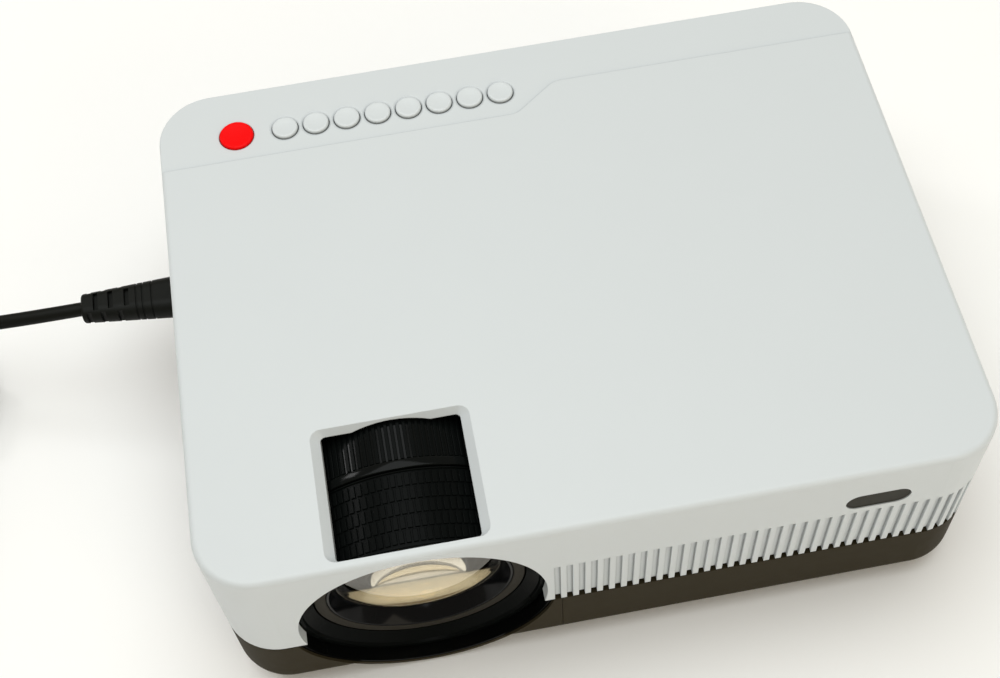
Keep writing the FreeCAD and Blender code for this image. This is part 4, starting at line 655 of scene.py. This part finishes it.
def ring_of_bars_tree():
    """Bars round a cylinder about +Y, in rows; every second row is turned by half a step."""
    tree, given, output = new_tree("ring_of_bars", {
        "Rows": ("Int", 5), "Count": ("Int", 100), "Radius": ("Float", 0.04), "Start": ("Float", 0.0),
        "Pitch": ("Float", 0.005), "Size": ("Vector", None), "Centre": ("Vector", None),
        "Material": ("Material", None)})
    total = maths(tree, "MULTIPLY", given["Rows"], given["Count"])
    points = add_node(tree, "GeometryNodeMeshLine", {"Count": total})
    index = add_node(tree, "GeometryNodeInputIndex")
    row = maths(tree, "FLOOR", maths(tree, "DIVIDE", index, given["Count"]))
    turn = maths(tree, "MODULO", index, given["Count"])
    shift = maths(tree, "MULTIPLY", maths(tree, "MODULO", row, 2.0), 0.5)
    share = maths(tree, "DIVIDE", maths(tree, "ADD", turn, shift), given["Count"])
    angle = maths(tree, "MULTIPLY", share, 2 * math.pi)
    x = maths(tree, "MULTIPLY", maths(tree, "SINE", angle), given["Radius"])
    z = maths(tree, "MULTIPLY", maths(tree, "COSINE", angle), given["Radius"])
    y = maths(tree, "ADD", given["Start"], maths(tree, "MULTIPLY", row, given["Pitch"]))
    spot = add_node(tree, "ShaderNodeCombineXYZ", {"X": x, "Y": y, "Z": z})
    place = add_node(tree, "ShaderNodeVectorMath", {0: spot, 1: given["Centre"]}, operation="ADD")
    placed = add_node(tree, "GeometryNodeSetPosition", {"Geometry": points, "Position": place})
    bar = add_node(tree, "GeometryNodeMeshCube", {"Size": given["Size"]})
    turned = add_node(tree, "ShaderNodeCombineXYZ", {"Y": angle})
    copy_onto(tree, placed, bar, given["Material"], output, Rotation=turned)
    return tree


def ring_of_balls_tree():
    """Balls evenly spaced on a flat circle."""
    tree, given, output = new_tree("ring_of_balls", {
        "Count": ("Int", 3), "Radius": ("Float", 0.007), "Ball": ("Float", 0.001),
        "Centre": ("Vector", None), "Material": ("Material", None)})
    circle = add_node(tree, "GeometryNodeMeshCircle", {
        "Vertices": given["Count"], "Radius": given["Radius"]})
    placed = add_node(tree, "GeometryNodeTransform", {
        "Geometry": circle, "Translation": given["Centre"]})
    ball = add_node(tree, "GeometryNodeMeshUVSphere", {
        "Segments": 16, "Rings": 10, "Radius": given["Ball"]})
    copy_onto(tree, placed, ball, given["Material"], output)
    return tree


# ---------------- stage
class PROJECTOR_OT_stage(bpy.types.Operator):
    """Pale floor, soft studio light and the camera"""
    bl_idname = "projector.stage"
    bl_label = "Stage"

    def execute(self, context):
        scene = context.scene
        scene.view_settings.view_transform = "Standard"
        scene.view_settings.look = "None"
        self.floor()
        self.daylight(scene)
        for lamp in LAMPS:
            self.lamp(*lamp)
        self.camera(scene)
        return {"FINISHED"}

    @staticmethod
    def floor():
        mesh = bpy.data.meshes.new("floor")
        spots = [(FLOOR_REACH * x, FLOOR_REACH * y, 0) for x, y in ((-1, -1), (1, -1), (1, 1), (-1, 1))]
        mesh.from_pydata(spots, [], [(0, 1, 2, 3)])
        floor = add_object("floor", mesh)
        tree, surface, place = new_material("studio_floor")
        paper = noise(tree, place, 6.0, 4.0)
        tint = mix_colours(tree, paper, (0.975, 0.975, 0.972), (0.99, 0.99, 0.987))
        set_inputs(tree, surface, {"Base Color": tint, "Roughness": 0.9})
        mesh.materials.append(finish("studio_floor"))

    @staticmethod
    def daylight(scene):
        world = bpy.data.worlds.new("studio")
        world.use_nodes = True
        background = world.node_tree.nodes["Background"]
        set_inputs(world.node_tree, background, {"Color": SKY_COLOUR, "Strength": SKY_STRENGTH})
        scene.world = world

    @staticmethod
    def lamp(name, place, size, watts, tint):
        light = bpy.data.lights.new(name, "AREA")
        light.shape = "SQUARE"
        light.size = size
        light.energy = watts
        light.color = tint
        lamp = add_object(name, light)
        lamp.location = place
        lamp.rotation_euler = (-Vector(place)).to_track_quat("-Z", "Y").to_euler()

    @staticmethod
    def camera(scene):
        view = bpy.data.cameras.new("camera")
        view.lens = CAMERA_LENS
        view.sensor_width = 36.0
        view.shift_x, view.shift_y = CAMERA_SHIFT
        camera = add_object("camera", view)
        place = Matrix.Translation(CAMERA_PLACE)
        turns = [Matrix.Rotation(math.radians(angle), 4, axis) for angle, axis in CAMERA_TURNS]
        camera.matrix_world = place @ (turns[0] @ turns[1] @ turns[2])
        scene.camera = camera


# ---------------- case
class PROJECTOR_OT_case(bpy.types.Operator):
    """Finishes of the case parts and the smoked receiver window"""
    bl_idname = "projector.case"
    bl_label = "Case"

    def execute(self, context):
        dress("white_case", "top_case", "left_side_panel")
        dress("taupe_case", "bottom_case", "lens_fascia")
        dress("ring_black", "lens_trim")
        dress("receiver_smoke", "ir_window")
        dress("foot_rubber", "rubber_feet")
        dress("dark_grey", "elevator_foot", "foot_wheel")
        dress("turned_brass", "tripod_insert")
        return {"FINISHED"}


class PROJECTOR_OT_screws(bpy.types.Operator):
    """Six cross-recessed case screws"""
    bl_idname = "projector.screws"
    bl_label = "Case screws"

    def execute(self, context):
        low, high = corners("case_screws")
        head, neck = SCREW_HEAD_RADIUS, low.z + SCREW_HEAD_HEIGHT
        outline = [(0, low.z), (head * SCREW_FACE_SHARE, low.z), (head, low.z + SCREW_CHAMFER),
                   (head, neck), (SCREW_RADIUS, neck), (SCREW_RADIUS, high.z - SCREW_TIP), (0, high.z)]
        screw = lathe("screw_blank", outline, Vector((0, 0, 0)), AXIS_Z, None, steps=24)
        self.cross_recess(screw, low.z)
        made = run_tree("screws", self.tree(screw), {
            "Span": (high.x - low.x - 2 * head, high.y - low.y - 2 * head, 0.0),
            "Middle Column": MIDDLE_SCREW_X, "Material": finish("zinc_steel")}, sharp=30)
        bpy.data.objects.remove(screw)
        seat(made, "case", "zinc_steel", "case_screws")
        return {"FINISHED"}

    @staticmethod
    def cross_recess(screw, z):
        """Cut a cross into the screw's head, which faces down."""
        cutters = []
        for wide, deep in ((RECESS_REACH, RECESS_HALF_WIDTH), (RECESS_HALF_WIDTH, RECESS_REACH)):
            corner = Vector((wide, deep, RECESS_DEPTH))
            cutter = block("recess", AXIS_Z * z - corner, AXIS_Z * z + corner, None)
            cutters.append(cutter)
            screw.modifiers.new("recess", "BOOLEAN").object = cutter
        cut = applied(screw)
        screw.modifiers.clear()
        screw.data = cut
        for cutter in cutters:
            bpy.data.objects.remove(cutter)

    @staticmethod
    def tree(screw):
        """Three by two copies of a screw; the middle column stands at its own X."""
        tree, given, output = new_tree("screw_grid", {
            "Span": ("Vector", None), "Middle Column": ("Float", 0.0), "Material": ("Material", None)})
        span = add_node(tree, "ShaderNodeSeparateXYZ", {"Vector": given["Span"]}).outputs
        points = add_node(tree, "GeometryNodeMeshLine", {"Count": 6})
        index = add_node(tree, "GeometryNodeInputIndex")
        column = maths(tree, "FLOOR", maths(tree, "DIVIDE", index, 2.0))
        row = maths(tree, "SUBTRACT", maths(tree, "MODULO", index, 2.0), 0.5)
        side = maths(tree, "SUBTRACT", column, 1.0)
        across = maths(tree, "MULTIPLY", side, maths(tree, "DIVIDE", span["X"], 2.0))
        is_middle = maths(tree, "SUBTRACT", 1.0, maths(tree, "ABSOLUTE", side))
        x = maths(tree, "ADD", across, maths(tree, "MULTIPLY", is_middle, given["Middle Column"]))
        y = maths(tree, "MULTIPLY", row, span["Y"])
        spot = add_node(tree, "ShaderNodeCombineXYZ", {"X": x, "Y": y})
        placed = add_node(tree, "GeometryNodeSetPosition", {"Geometry": points, "Position": spot})
        source = add_node(tree, "GeometryNodeObjectInfo", {"Object": screw})
        copy_onto(tree, placed, source.outputs["Geometry"], given["Material"], output)
        return tree


# ---------------- keys
class PROJECTOR_OT_keys(bpy.types.Operator):
    """Red power key and eight white keys, each a scooped cap on its own plunger"""
    bl_idname = "projector.keys"
    bl_label = "Keys"

    def execute(self, context):
        for number in range(1, KEY_COUNT + 1):
            self.key("button_%d" % number, "white_key")
        self.key("power_button", "red_key")
        return {"FINISHED"}

    @staticmethod
    def key(name, look):
        """Turned key: flange, plunger, rounded edge and scooped top."""
        low, high = corners(name)
        centre = (low + high) / 2
        flange = (high.x - low.x) / 2
        radius = flange - KEY_FLANGE
        edge, scoop = sizes().key_edge, sizes().key_scoop
        shoulder = low.z + KEY_FLANGE_THICKNESS
        outline = [(0, low.z), (flange, low.z), (flange, shoulder), (radius, shoulder),
                   (radius, high.z - edge)]
        for step in range(1, KEY_EDGE_STEPS):
            angle = math.pi / 2 * step / KEY_EDGE_STEPS
            outline.append((radius - edge * (1 - math.cos(angle)),
                            high.z - edge * (1 - math.sin(angle))))
        dish = radius - edge - KEY_LAND
        for step in range(KEY_SCOOP_STEPS + 1):
            r = dish * (1 - step / KEY_SCOOP_STEPS)
            outline.append((r, high.z - scoop * (1 - (r / dish) ** 2)))
        cap = lathe(name + "_cap", outline, Vector((centre.x, centre.y, 0)), AXIS_Z, look,
                    steps=96, sharp=40)
        seat(cap, name, look, name)


# ---------------- lens rings
def ring_sleeve(node, outline, look):
    """Turned sleeve of a lens ring."""
    sleeve = lathe(node + "_sleeve", outline, LENS_AXIS, AXIS_Y, look, steps=256, sharp=30)
    seat(sleeve, node, "black_plastic", node)


def ring_bars(node, label, edge, values):
    """Raised bars round a lens ring, their edges eased."""
    bars = run_tree("%s_%s" % (node, label), ring_of_bars_tree(), {
        "Centre": (LENS_AXIS.x, 0.0, LENS_AXIS.z), "Material": finish("black_ring"), **values})
    bevelled(bars, edge)
    seat(bars, node, "black_plastic", node)


class PROJECTOR_OT_focus_ring(bpy.types.Operator):
    """Focus ring: a turned sleeve with five staggered rows of raised bricks"""
    bl_idname = "projector.focus_ring"
    bl_label = "Focus ring"

    def execute(self, context):
        size = sizes()
        low, high = corners("focus_ring")
        outer = (high.x - low.x) / 2
        base = outer - size.knurl_height
        inner = outer - RING_WALL
        y0, y1 = low.y, high.y
        lip = [(outer - a * MM, y0 + b * MM) for a, b in FOCUS_LIP]
        ring_sleeve("focus_ring", [(RING_BORE, y0 + FOCUS_CONE_LENGTH)] + lip + [
            (base, y0 + GROOVE_ENDS[0]), (base, y1 - GROOVE_ENDS[1]), (outer, y1 - REAR_LIP[0]),
            (outer - REAR_LIP[1], y1), (MOUNT_BORE, y1), (MOUNT_BORE, y1 - RING_STEP),
            (inner, y1 - RING_STEP), (inner, y0 + FOCUS_STEP), (RING_BORE, y0 + FOCUS_STEP)],
            "black_ring")
        start, end = y0 + BRICK_ENDS[0], y1 - BRICK_ENDS[1]
        pitch = (end - start) / size.knurl_rows
        around = 2 * math.pi * base / size.knurl_count
        depth = size.knurl_height + BAR_ROOT
        ring_bars("focus_ring", "bricks", BRICK_EASE, {
            "Rows": size.knurl_rows, "Count": size.knurl_count, "Radius": outer - depth / 2,
            "Start": start + pitch / 2, "Pitch": pitch,
            "Size": (around - size.knurl_gap, pitch - size.knurl_gap, depth)})
        return {"FINISHED"}


class PROJECTOR_OT_keystone_ring(bpy.types.Operator):
    """Keystone ring: a polished band with fine ribs behind it"""
    bl_idname = "projector.keystone_ring"
    bl_label = "Keystone ring"

    def execute(self, context):
        size = sizes()
        low, high = corners("keystone_ring")
        band = (high.x - low.x) / 2
        rib = band - BAND_STEP
        base = rib - size.rib_height
        inner = rib - RING_WALL
        y0, y1 = low.y, high.y
        step = y0 + BAND_LENGTH
        front = [(band - BAND_EASE * a, y0 + BAND_EASE * b) for a, b in BAND_ROUNDING]
        back = [(band - BAND_EASE * a, step - BAND_EASE * b) for a, b in reversed(BAND_ROUNDING[1:])]
        ring_sleeve("keystone_ring", [(MOUNT_BORE, y0)] + front + back + [
            (band - BAND_EASE, step), (base, step), (base, y1), (MOUNT_BORE, y1),
            (MOUNT_BORE, y1 - RING_STEP), (inner, y1 - RING_STEP), (inner, y0 + RING_STEP),
            (MOUNT_BORE, y0 + RING_STEP)], "polished_ring")
        start, end = step + RIB_ENDS[0], y1 - RIB_ENDS[1]
        around = 2 * math.pi * rib / size.rib_count
        depth = size.rib_height + BAR_ROOT
        ring_bars("keystone_ring", "ribs", RIB_EASE, {
            "Rows": 1, "Count": size.rib_count, "Radius": rib - depth / 2,
            "Start": (start + end) / 2, "Pitch": 0.0,
            "Size": (around * size.rib_share, end - start, depth)})
        return {"FINISHED"}


# ---------------- lens
class PROJECTOR_OT_lens(bpy.types.Operator):
    """Barrel, retaining ring and the three glasses"""
    bl_idname = "projector.lens"
    bl_label = "Lens"

    def execute(self, context):
        dress("black_plastic", "lens_mount")
        dress("middle_glass", "middle_lens")
        dress("lens_glass", "rear_lens")
        face = corners("lens_barrel")[0].y
        self.barrel(face)
        self.retainer(face)
        self.front_glass(face)
        return {"FINISHED"}

    @staticmethod
    def turned(name, outline, look, slot, node, sharp=SHARP_ANGLE):
        """Turned piece on the lens axis that moves with the barrel and stands for a node."""
        piece = lathe(name, outline, LENS_AXIS, AXIS_Y, look, steps=192, sharp=sharp)
        seat(piece, "lens_barrel", slot, node)

    def barrel(self, face):
        """Barrel with its matt face and the bores that its glasses lie in."""
        back = corners("lens_barrel")[1].y
        glass_low, glass_high = corners("middle_lens")
        rear_low, rear_high = corners("rear_lens")
        bore = (glass_high.x - glass_low.x) / 2 + BORE_PLAY
        rear_bore = (rear_high.x - rear_low.x) / 2 + BORE_PLAY
        mouth = RETAINER_RADIUS + BORE_PLAY
        flange, flange_end = BARREL_FLANGE_RADIUS, face + BARREL_FLANGE_LENGTH
        seat_end = face + GLASS_SEAT
        ease = BARREL_EASE
        self.turned("barrel_tube", [
            (mouth, face + ease), (mouth + ease, face), (flange - ease, face), (flange, face + ease),
            (flange, flange_end), (BARREL_RADIUS, flange_end), (BARREL_RADIUS, back),
            (rear_bore, back), (rear_bore, glass_high.y), (bore, glass_high.y), (bore, glass_low.y),
            (BARREL_CONE_RADIUS, seat_end), (mouth, seat_end)],
            "barrel_grey", "dark_plastic", "lens_barrel")

    def retainer(self, face):
        """Glossy ring in front of the glass, its bore a cone that narrows towards the glass."""
        outer, (front_bore, back_bore) = RETAINER_RADIUS, RETAINER_BORE
        back = face + RETAINER_LENGTH
        ease = RETAINER_EASE
        self.turned("retaining_ring", [
            (outer, face + ease), (outer - ease, face), (front_bore + ease, face),
            (front_bore, face + ease), (back_bore, back), (outer, back)],
            "gloss_black", "gloss_black", "front_retaining_ring", sharp=50)

    def front_glass(self, face):
        """Thick front glass, domed on both sides."""
        edge, radius = GLASS_EDGE_RADIUS, GLASS_RADIUS
        front_y = face + RETAINER_LENGTH + FACE_GAP
        back_y = face + GLASS_SEAT - FACE_GAP
        front = dome_points(radius, GLASS_BULGE[0], front_y, -1)
        back = dome_points(radius, GLASS_BULGE[1], back_y, 1)
        self.turned("front_glass",
                    [(edge, front_y)] + front + back[::-1] + [(edge, back_y)],
                    "front_glass", "lens_glass", "front_lens", sharp=40)


# ---------------- sockets
class PROJECTOR_OT_ports(bpy.types.Operator):
    """Socket board, its four sockets and the mains inlet"""
    bl_idname = "projector.ports"
    bl_label = "Sockets"

    def execute(self, context):
        low, high = corners("port_board")
        deck = low.z + PORT_BOARD_THICKNESS
        front = high.y - PORT_BOARD_LENGTH
        board = block("socket_board", (low.x + PORT_BOARD_SETBACK, front, low.z),
                      (high.x, high.y, deck), "circuit_board")
        bevelled(board, SOCKET_EASE)
        seat(board, "case", "green_board", "port_board")
        for number, (along, width, height) in enumerate(SOCKETS, 1):
            self.socket("socket_%d" % number, low.x, front + along, deck, width, height)
        for number, (along, width) in enumerate(JACKS, 1):
            self.jack("jack_%d" % number, low.x, front + along, deck, width)
        dress("black_plastic", "power_inlet")
        return {"FINISHED"}

    @staticmethod
    def socket(name, x, y, deck, width, height):
        """Folded steel shell with a tongue inside; the mouth faces the side panel."""
        shell = block(name + "_shell", (x, y - width / 2, deck),
                      (x + SOCKET_DEPTH, y + width / 2, deck + height), "bright_steel",
                      mouth=(SOCKET_WALL, SOCKET_POCKET_DEPTH))
        bevelled(shell, SHELL_EASE)
        seat(shell, "case", "socket_metal", "port_board")
        reach = width / 2 - TONGUE_MARGIN
        under = deck + height / 2 - TONGUE_DROP
        tongue = block(name + "_tongue", (x + TONGUE_START, y - reach, under),
                       (x + SOCKET_POCKET_DEPTH, y + reach, under + TONGUE_THICKNESS),
                       "white_insulator")
        bevelled(tongue, SOCKET_EASE)
        seat(tongue, "case", "socket_metal", "port_board")

    @staticmethod
    def jack(name, x, y, deck, width):
        """Round jack: a black block with a coloured collar round its hole."""
        half = width / 2
        bore = JACK_BORE_RADIUS
        body = bored_block(name + "_body", (x, y - half, deck),
                           (x + SOCKET_DEPTH, y + half, deck + width), bore, JACK_BORE_DEPTH,
                           "black_plastic")
        seat(body, "case", "black_plastic", "port_board")
        near, far = x - COLLAR_STAND[0], x - COLLAR_STAND[1]
        collar = lathe(name + "_collar", [(bore, near), (bore + COLLAR_WIDTH, near),
                                          (bore + COLLAR_WIDTH, far), (bore, far)],
                       Vector((0, y, deck + half)), AXIS_X, "jack_ring", steps=BORE_STEPS)
        seat(collar, "case", "socket_metal", "port_board")


# ---------------- disc drive
class PROJECTOR_OT_drive(bpy.types.Operator):
    """Disc drive, its drawer and its mechanism"""
    bl_idname = "projector.drive"
    bl_label = "Disc drive"

    def execute(self, context):
        dress("zinc_steel", "drive_base", "drive_cover", "tray_rails", "spindle_motor", "board_shield")
        dress("bright_steel", "sled_rods")
        dress("tray_grey", "disc_tray")
        dress("taupe_case", "tray_bezel")
        dress("dark_grey", "eject_button")
        dress("black_plastic", "laser_sled")
        self.hub()
        return {"FINISHED"}

    @staticmethod
    def hub():
        """Platter with a rubber seat and three gripping balls in its hub."""
        low, high = corners("spindle_hub")
        top, deck = high.z, high.z - HUB_HEIGHT
        under = deck - PLATTER_HEIGHT
        rim = (high.x - low.x) / 2
        wide, narrow, sunk = HUB_DIMPLE
        hub = lathe("hub_turned", [
            (0, low.z), (SPINDLE_RADIUS, low.z), (SPINDLE_RADIUS, under), (rim, under),
            (rim, deck - PLATTER_CHAMFER), (rim - PLATTER_CHAMFER, deck), (HUB_RADIUS, deck),
            (HUB_RADIUS, top - HUB_CHAMFER[1]), (HUB_RADIUS - HUB_CHAMFER[0], top), (wide, top),
            (narrow, top - sunk), (0, top - sunk)], DISC_AXIS, AXIS_Z, "tray_grey", steps=96)
        inner, outer = rim - PAD_BAND[0], rim - PAD_BAND[1]
        pad = lathe("hub_pad", [(inner, deck), (outer, deck), (outer, deck + PAD_THICKNESS),
                                (inner, deck + PAD_THICKNESS)],
                    DISC_AXIS, AXIS_Z, "foot_rubber", steps=96)
        balls = run_tree("hub_balls", ring_of_balls_tree(), {
            "Count": 3, "Radius": HUB_RADIUS - HUB_BALL_INSET, "Ball": HUB_BALL_RADIUS,
            "Centre": (DISC_AXIS.x, 0.0, deck + HUB_BALL_HEIGHT),
            "Material": finish("bright_steel")}, sharp=80)
        for piece in (hub, pad, balls):
            seat(piece, "spindle_hub", "black_plastic", "spindle_hub")


# ---------------- inner works
class PROJECTOR_OT_inner_works(bpy.types.Operator):
    """Optical engine, fan, boards and speakers"""
    bl_idname = "projector.inner_works"
    bl_label = "Inner works"

    def execute(self, context):
        dress("black_plastic", "optical_housing", "optical_cover", "lcd_cradle", "fan_frame",
              "fan_rotor")
        dress("speaker", "speakers")
        dress("fresnel_plastic", "front_fresnel", "rear_fresnel")
        dress("lens_glass", "condenser_lens")
        dress("gloss_black", "lcd_panel")
        dress("bare_aluminium", "heat_sink")
        dress("led_module", "led_module")
        for board in BOARD_THICKNESS:
            dress(board, board)
        return {"FINISHED"}


# ---------------- mains lead
def spline_curve(name, points, diameter, look):
    """Round cable along one smooth line through the pull of its control points, in metres."""
    data = bpy.data.curves.new(name, "CURVE")
    data.dimensions = "3D"
    data.resolution_u = 12
    data.bevel_depth = diameter / 2
    data.bevel_resolution = 6
    data.use_fill_caps = True
    line = data.splines.new("NURBS")
    line.points.add(len(points) - 1)
    for spot, place in zip(line.points, points):
        spot.co = (*place, 1.0)
    line.order_u = 3
    line.use_endpoint_u = True
    data.materials.append(finish(look))
    return add_object(name, data)


def coil_place(turn, diameter):
    """Radius and height of the wound cable after so many turns; it rises over the tie."""
    for (t0, track0, layer0), (t1, track1, layer1) in zip(COIL_TRACKS, COIL_TRACKS[1:]):
        if turn <= t1:
            share = (turn - t0) / (t1 - t0)
            track = track0 + (track1 - track0) * share
            layer = layer0 + (layer1 - layer0) * share
            break
    angle = math.pi + 2 * math.pi * turn
    lift = TIE_THICKNESS * max(0.0, math.cos(angle - TIE_ANGLE)) ** TIE_LIFT_SPREAD
    return COIL_MEAN_RADIUS + track * diameter, diameter * (layer + 0.5) + lift


class PROJECTOR_OT_lead(bpy.types.Operator):
    """Mains lead: plug at the inlet, cable, put-away coil with its tie, and wall plug"""
    bl_idname = "projector.lead"
    bl_label = "Mains lead"

    def execute(self, context):
        dress("plug_moulding", "power_plug")
        dress("wall_plug", "wall_plug")
        diameter = sizes().lead_diameter
        points = LEAD_ROUTE + self.coil_points(diameter) + LEAD_TAIL
        cable = spline_curve("mains_cable", points, diameter, "cable_sheath")
        seat(cable, "case", "lead_rubber", "power_lead", "lead_coil")
        tie = self.tie(diameter)
        return {"FINISHED"}

    @staticmethod
    def coil_points(diameter):
        """Control points of the coil's turns, two layers of three tracks."""
        points = []
        for step in range(1, round(COIL_TURNS * COIL_STEPS) + 1):
            turn = step / COIL_STEPS
            radius, height = coil_place(turn, diameter)
            angle = math.pi + 2 * math.pi * turn
            pull = radius / math.cos(math.pi / COIL_STEPS)
            points.append((COIL_CENTRE[0] + pull * math.cos(angle),
                           COIL_CENTRE[1] + pull * math.sin(angle), height))
        return points

    @staticmethod
    def tie(diameter):
        """Strap round the coil's turns."""
        reach = diameter * 1.5 + TIE_PLAY
        height = 2 * diameter + TIE_THICKNESS
        outlines = []
        for side, bottom, top in ((reach + TIE_THICKNESS, 0.0, height + TIE_THICKNESS),
                                  (reach, TIE_THICKNESS, height)):
            loop = [(-side, bottom), (side, bottom), (side, top), (-side, top)]
            outlines.append(rounded_profile(loop, diameter / 2))
        outer, inner = outlines
        out = Vector((math.cos(TIE_ANGLE), math.sin(TIE_ANGLE), 0))
        along = Vector((-out.y, out.x, 0))
        centre = Vector(COIL_CENTRE) + out * COIL_MEAN_RADIUS
        build = bmesh.new()
        rows = []
        for share, outline in ((-0.5, outer), (0.5, outer), (0.5, inner), (-0.5, inner)):
            edge = centre + along * share * TIE_WIDTH
            rows.append([build.verts.new(edge + out * r + AXIS_Z * z) for r, z in outline])
        join_rows(build, rows, closed=True)
        tie = close_build("coil_tie", build, "strap", SHARP_ANGLE)
        return seat(tie, "case", "lead_rubber")


# ---------------- add-on
OPERATORS = (PROJECTOR_OT_stage, PROJECTOR_OT_lead, PROJECTOR_OT_case, PROJECTOR_OT_screws,
             PROJECTOR_OT_keys, PROJECTOR_OT_focus_ring, PROJECTOR_OT_keystone_ring,
             PROJECTOR_OT_lens, PROJECTOR_OT_ports, PROJECTOR_OT_drive, PROJECTOR_OT_inner_works)


class PROJECTOR_PT_panel(bpy.types.Panel):
    """Sizes, colours and the steps that build the projector"""
    bl_idname = "PROJECTOR_PT_panel"
    bl_label = "Projector"
    bl_space_type = "VIEW_3D"
    bl_region_type = "UI"
    bl_category = "Projector"

    def draw(self, context):
        layout = self.layout
        for group in (context.scene.projector_sizes, context.scene.projector_colours):
            box = layout.box()
            for key in group.__annotations__:
                box.prop(group, key)
        for operator in OPERATORS:
            layout.operator(operator.bl_idname)


CLASSES = (ProjectorSizes, ProjectorColours) + OPERATORS + (PROJECTOR_PT_panel,)


def register():
    for cls in CLASSES:
        bpy.utils.register_class(cls)
    bpy.types.Scene.projector_sizes = PointerProperty(type=ProjectorSizes)
    bpy.types.Scene.projector_colours = PointerProperty(type=ProjectorColours)


def unregister():
    del bpy.types.Scene.projector_colours
    del bpy.types.Scene.projector_sizes
    for cls in reversed(CLASSES):
        bpy.utils.unregister_class(cls)


def main():
    register()
    for operator in OPERATORS:
        group, name = operator.bl_idname.split(".")
        getattr(getattr(bpy.ops, group), name)()


if __name__ == "__main__":
    main()
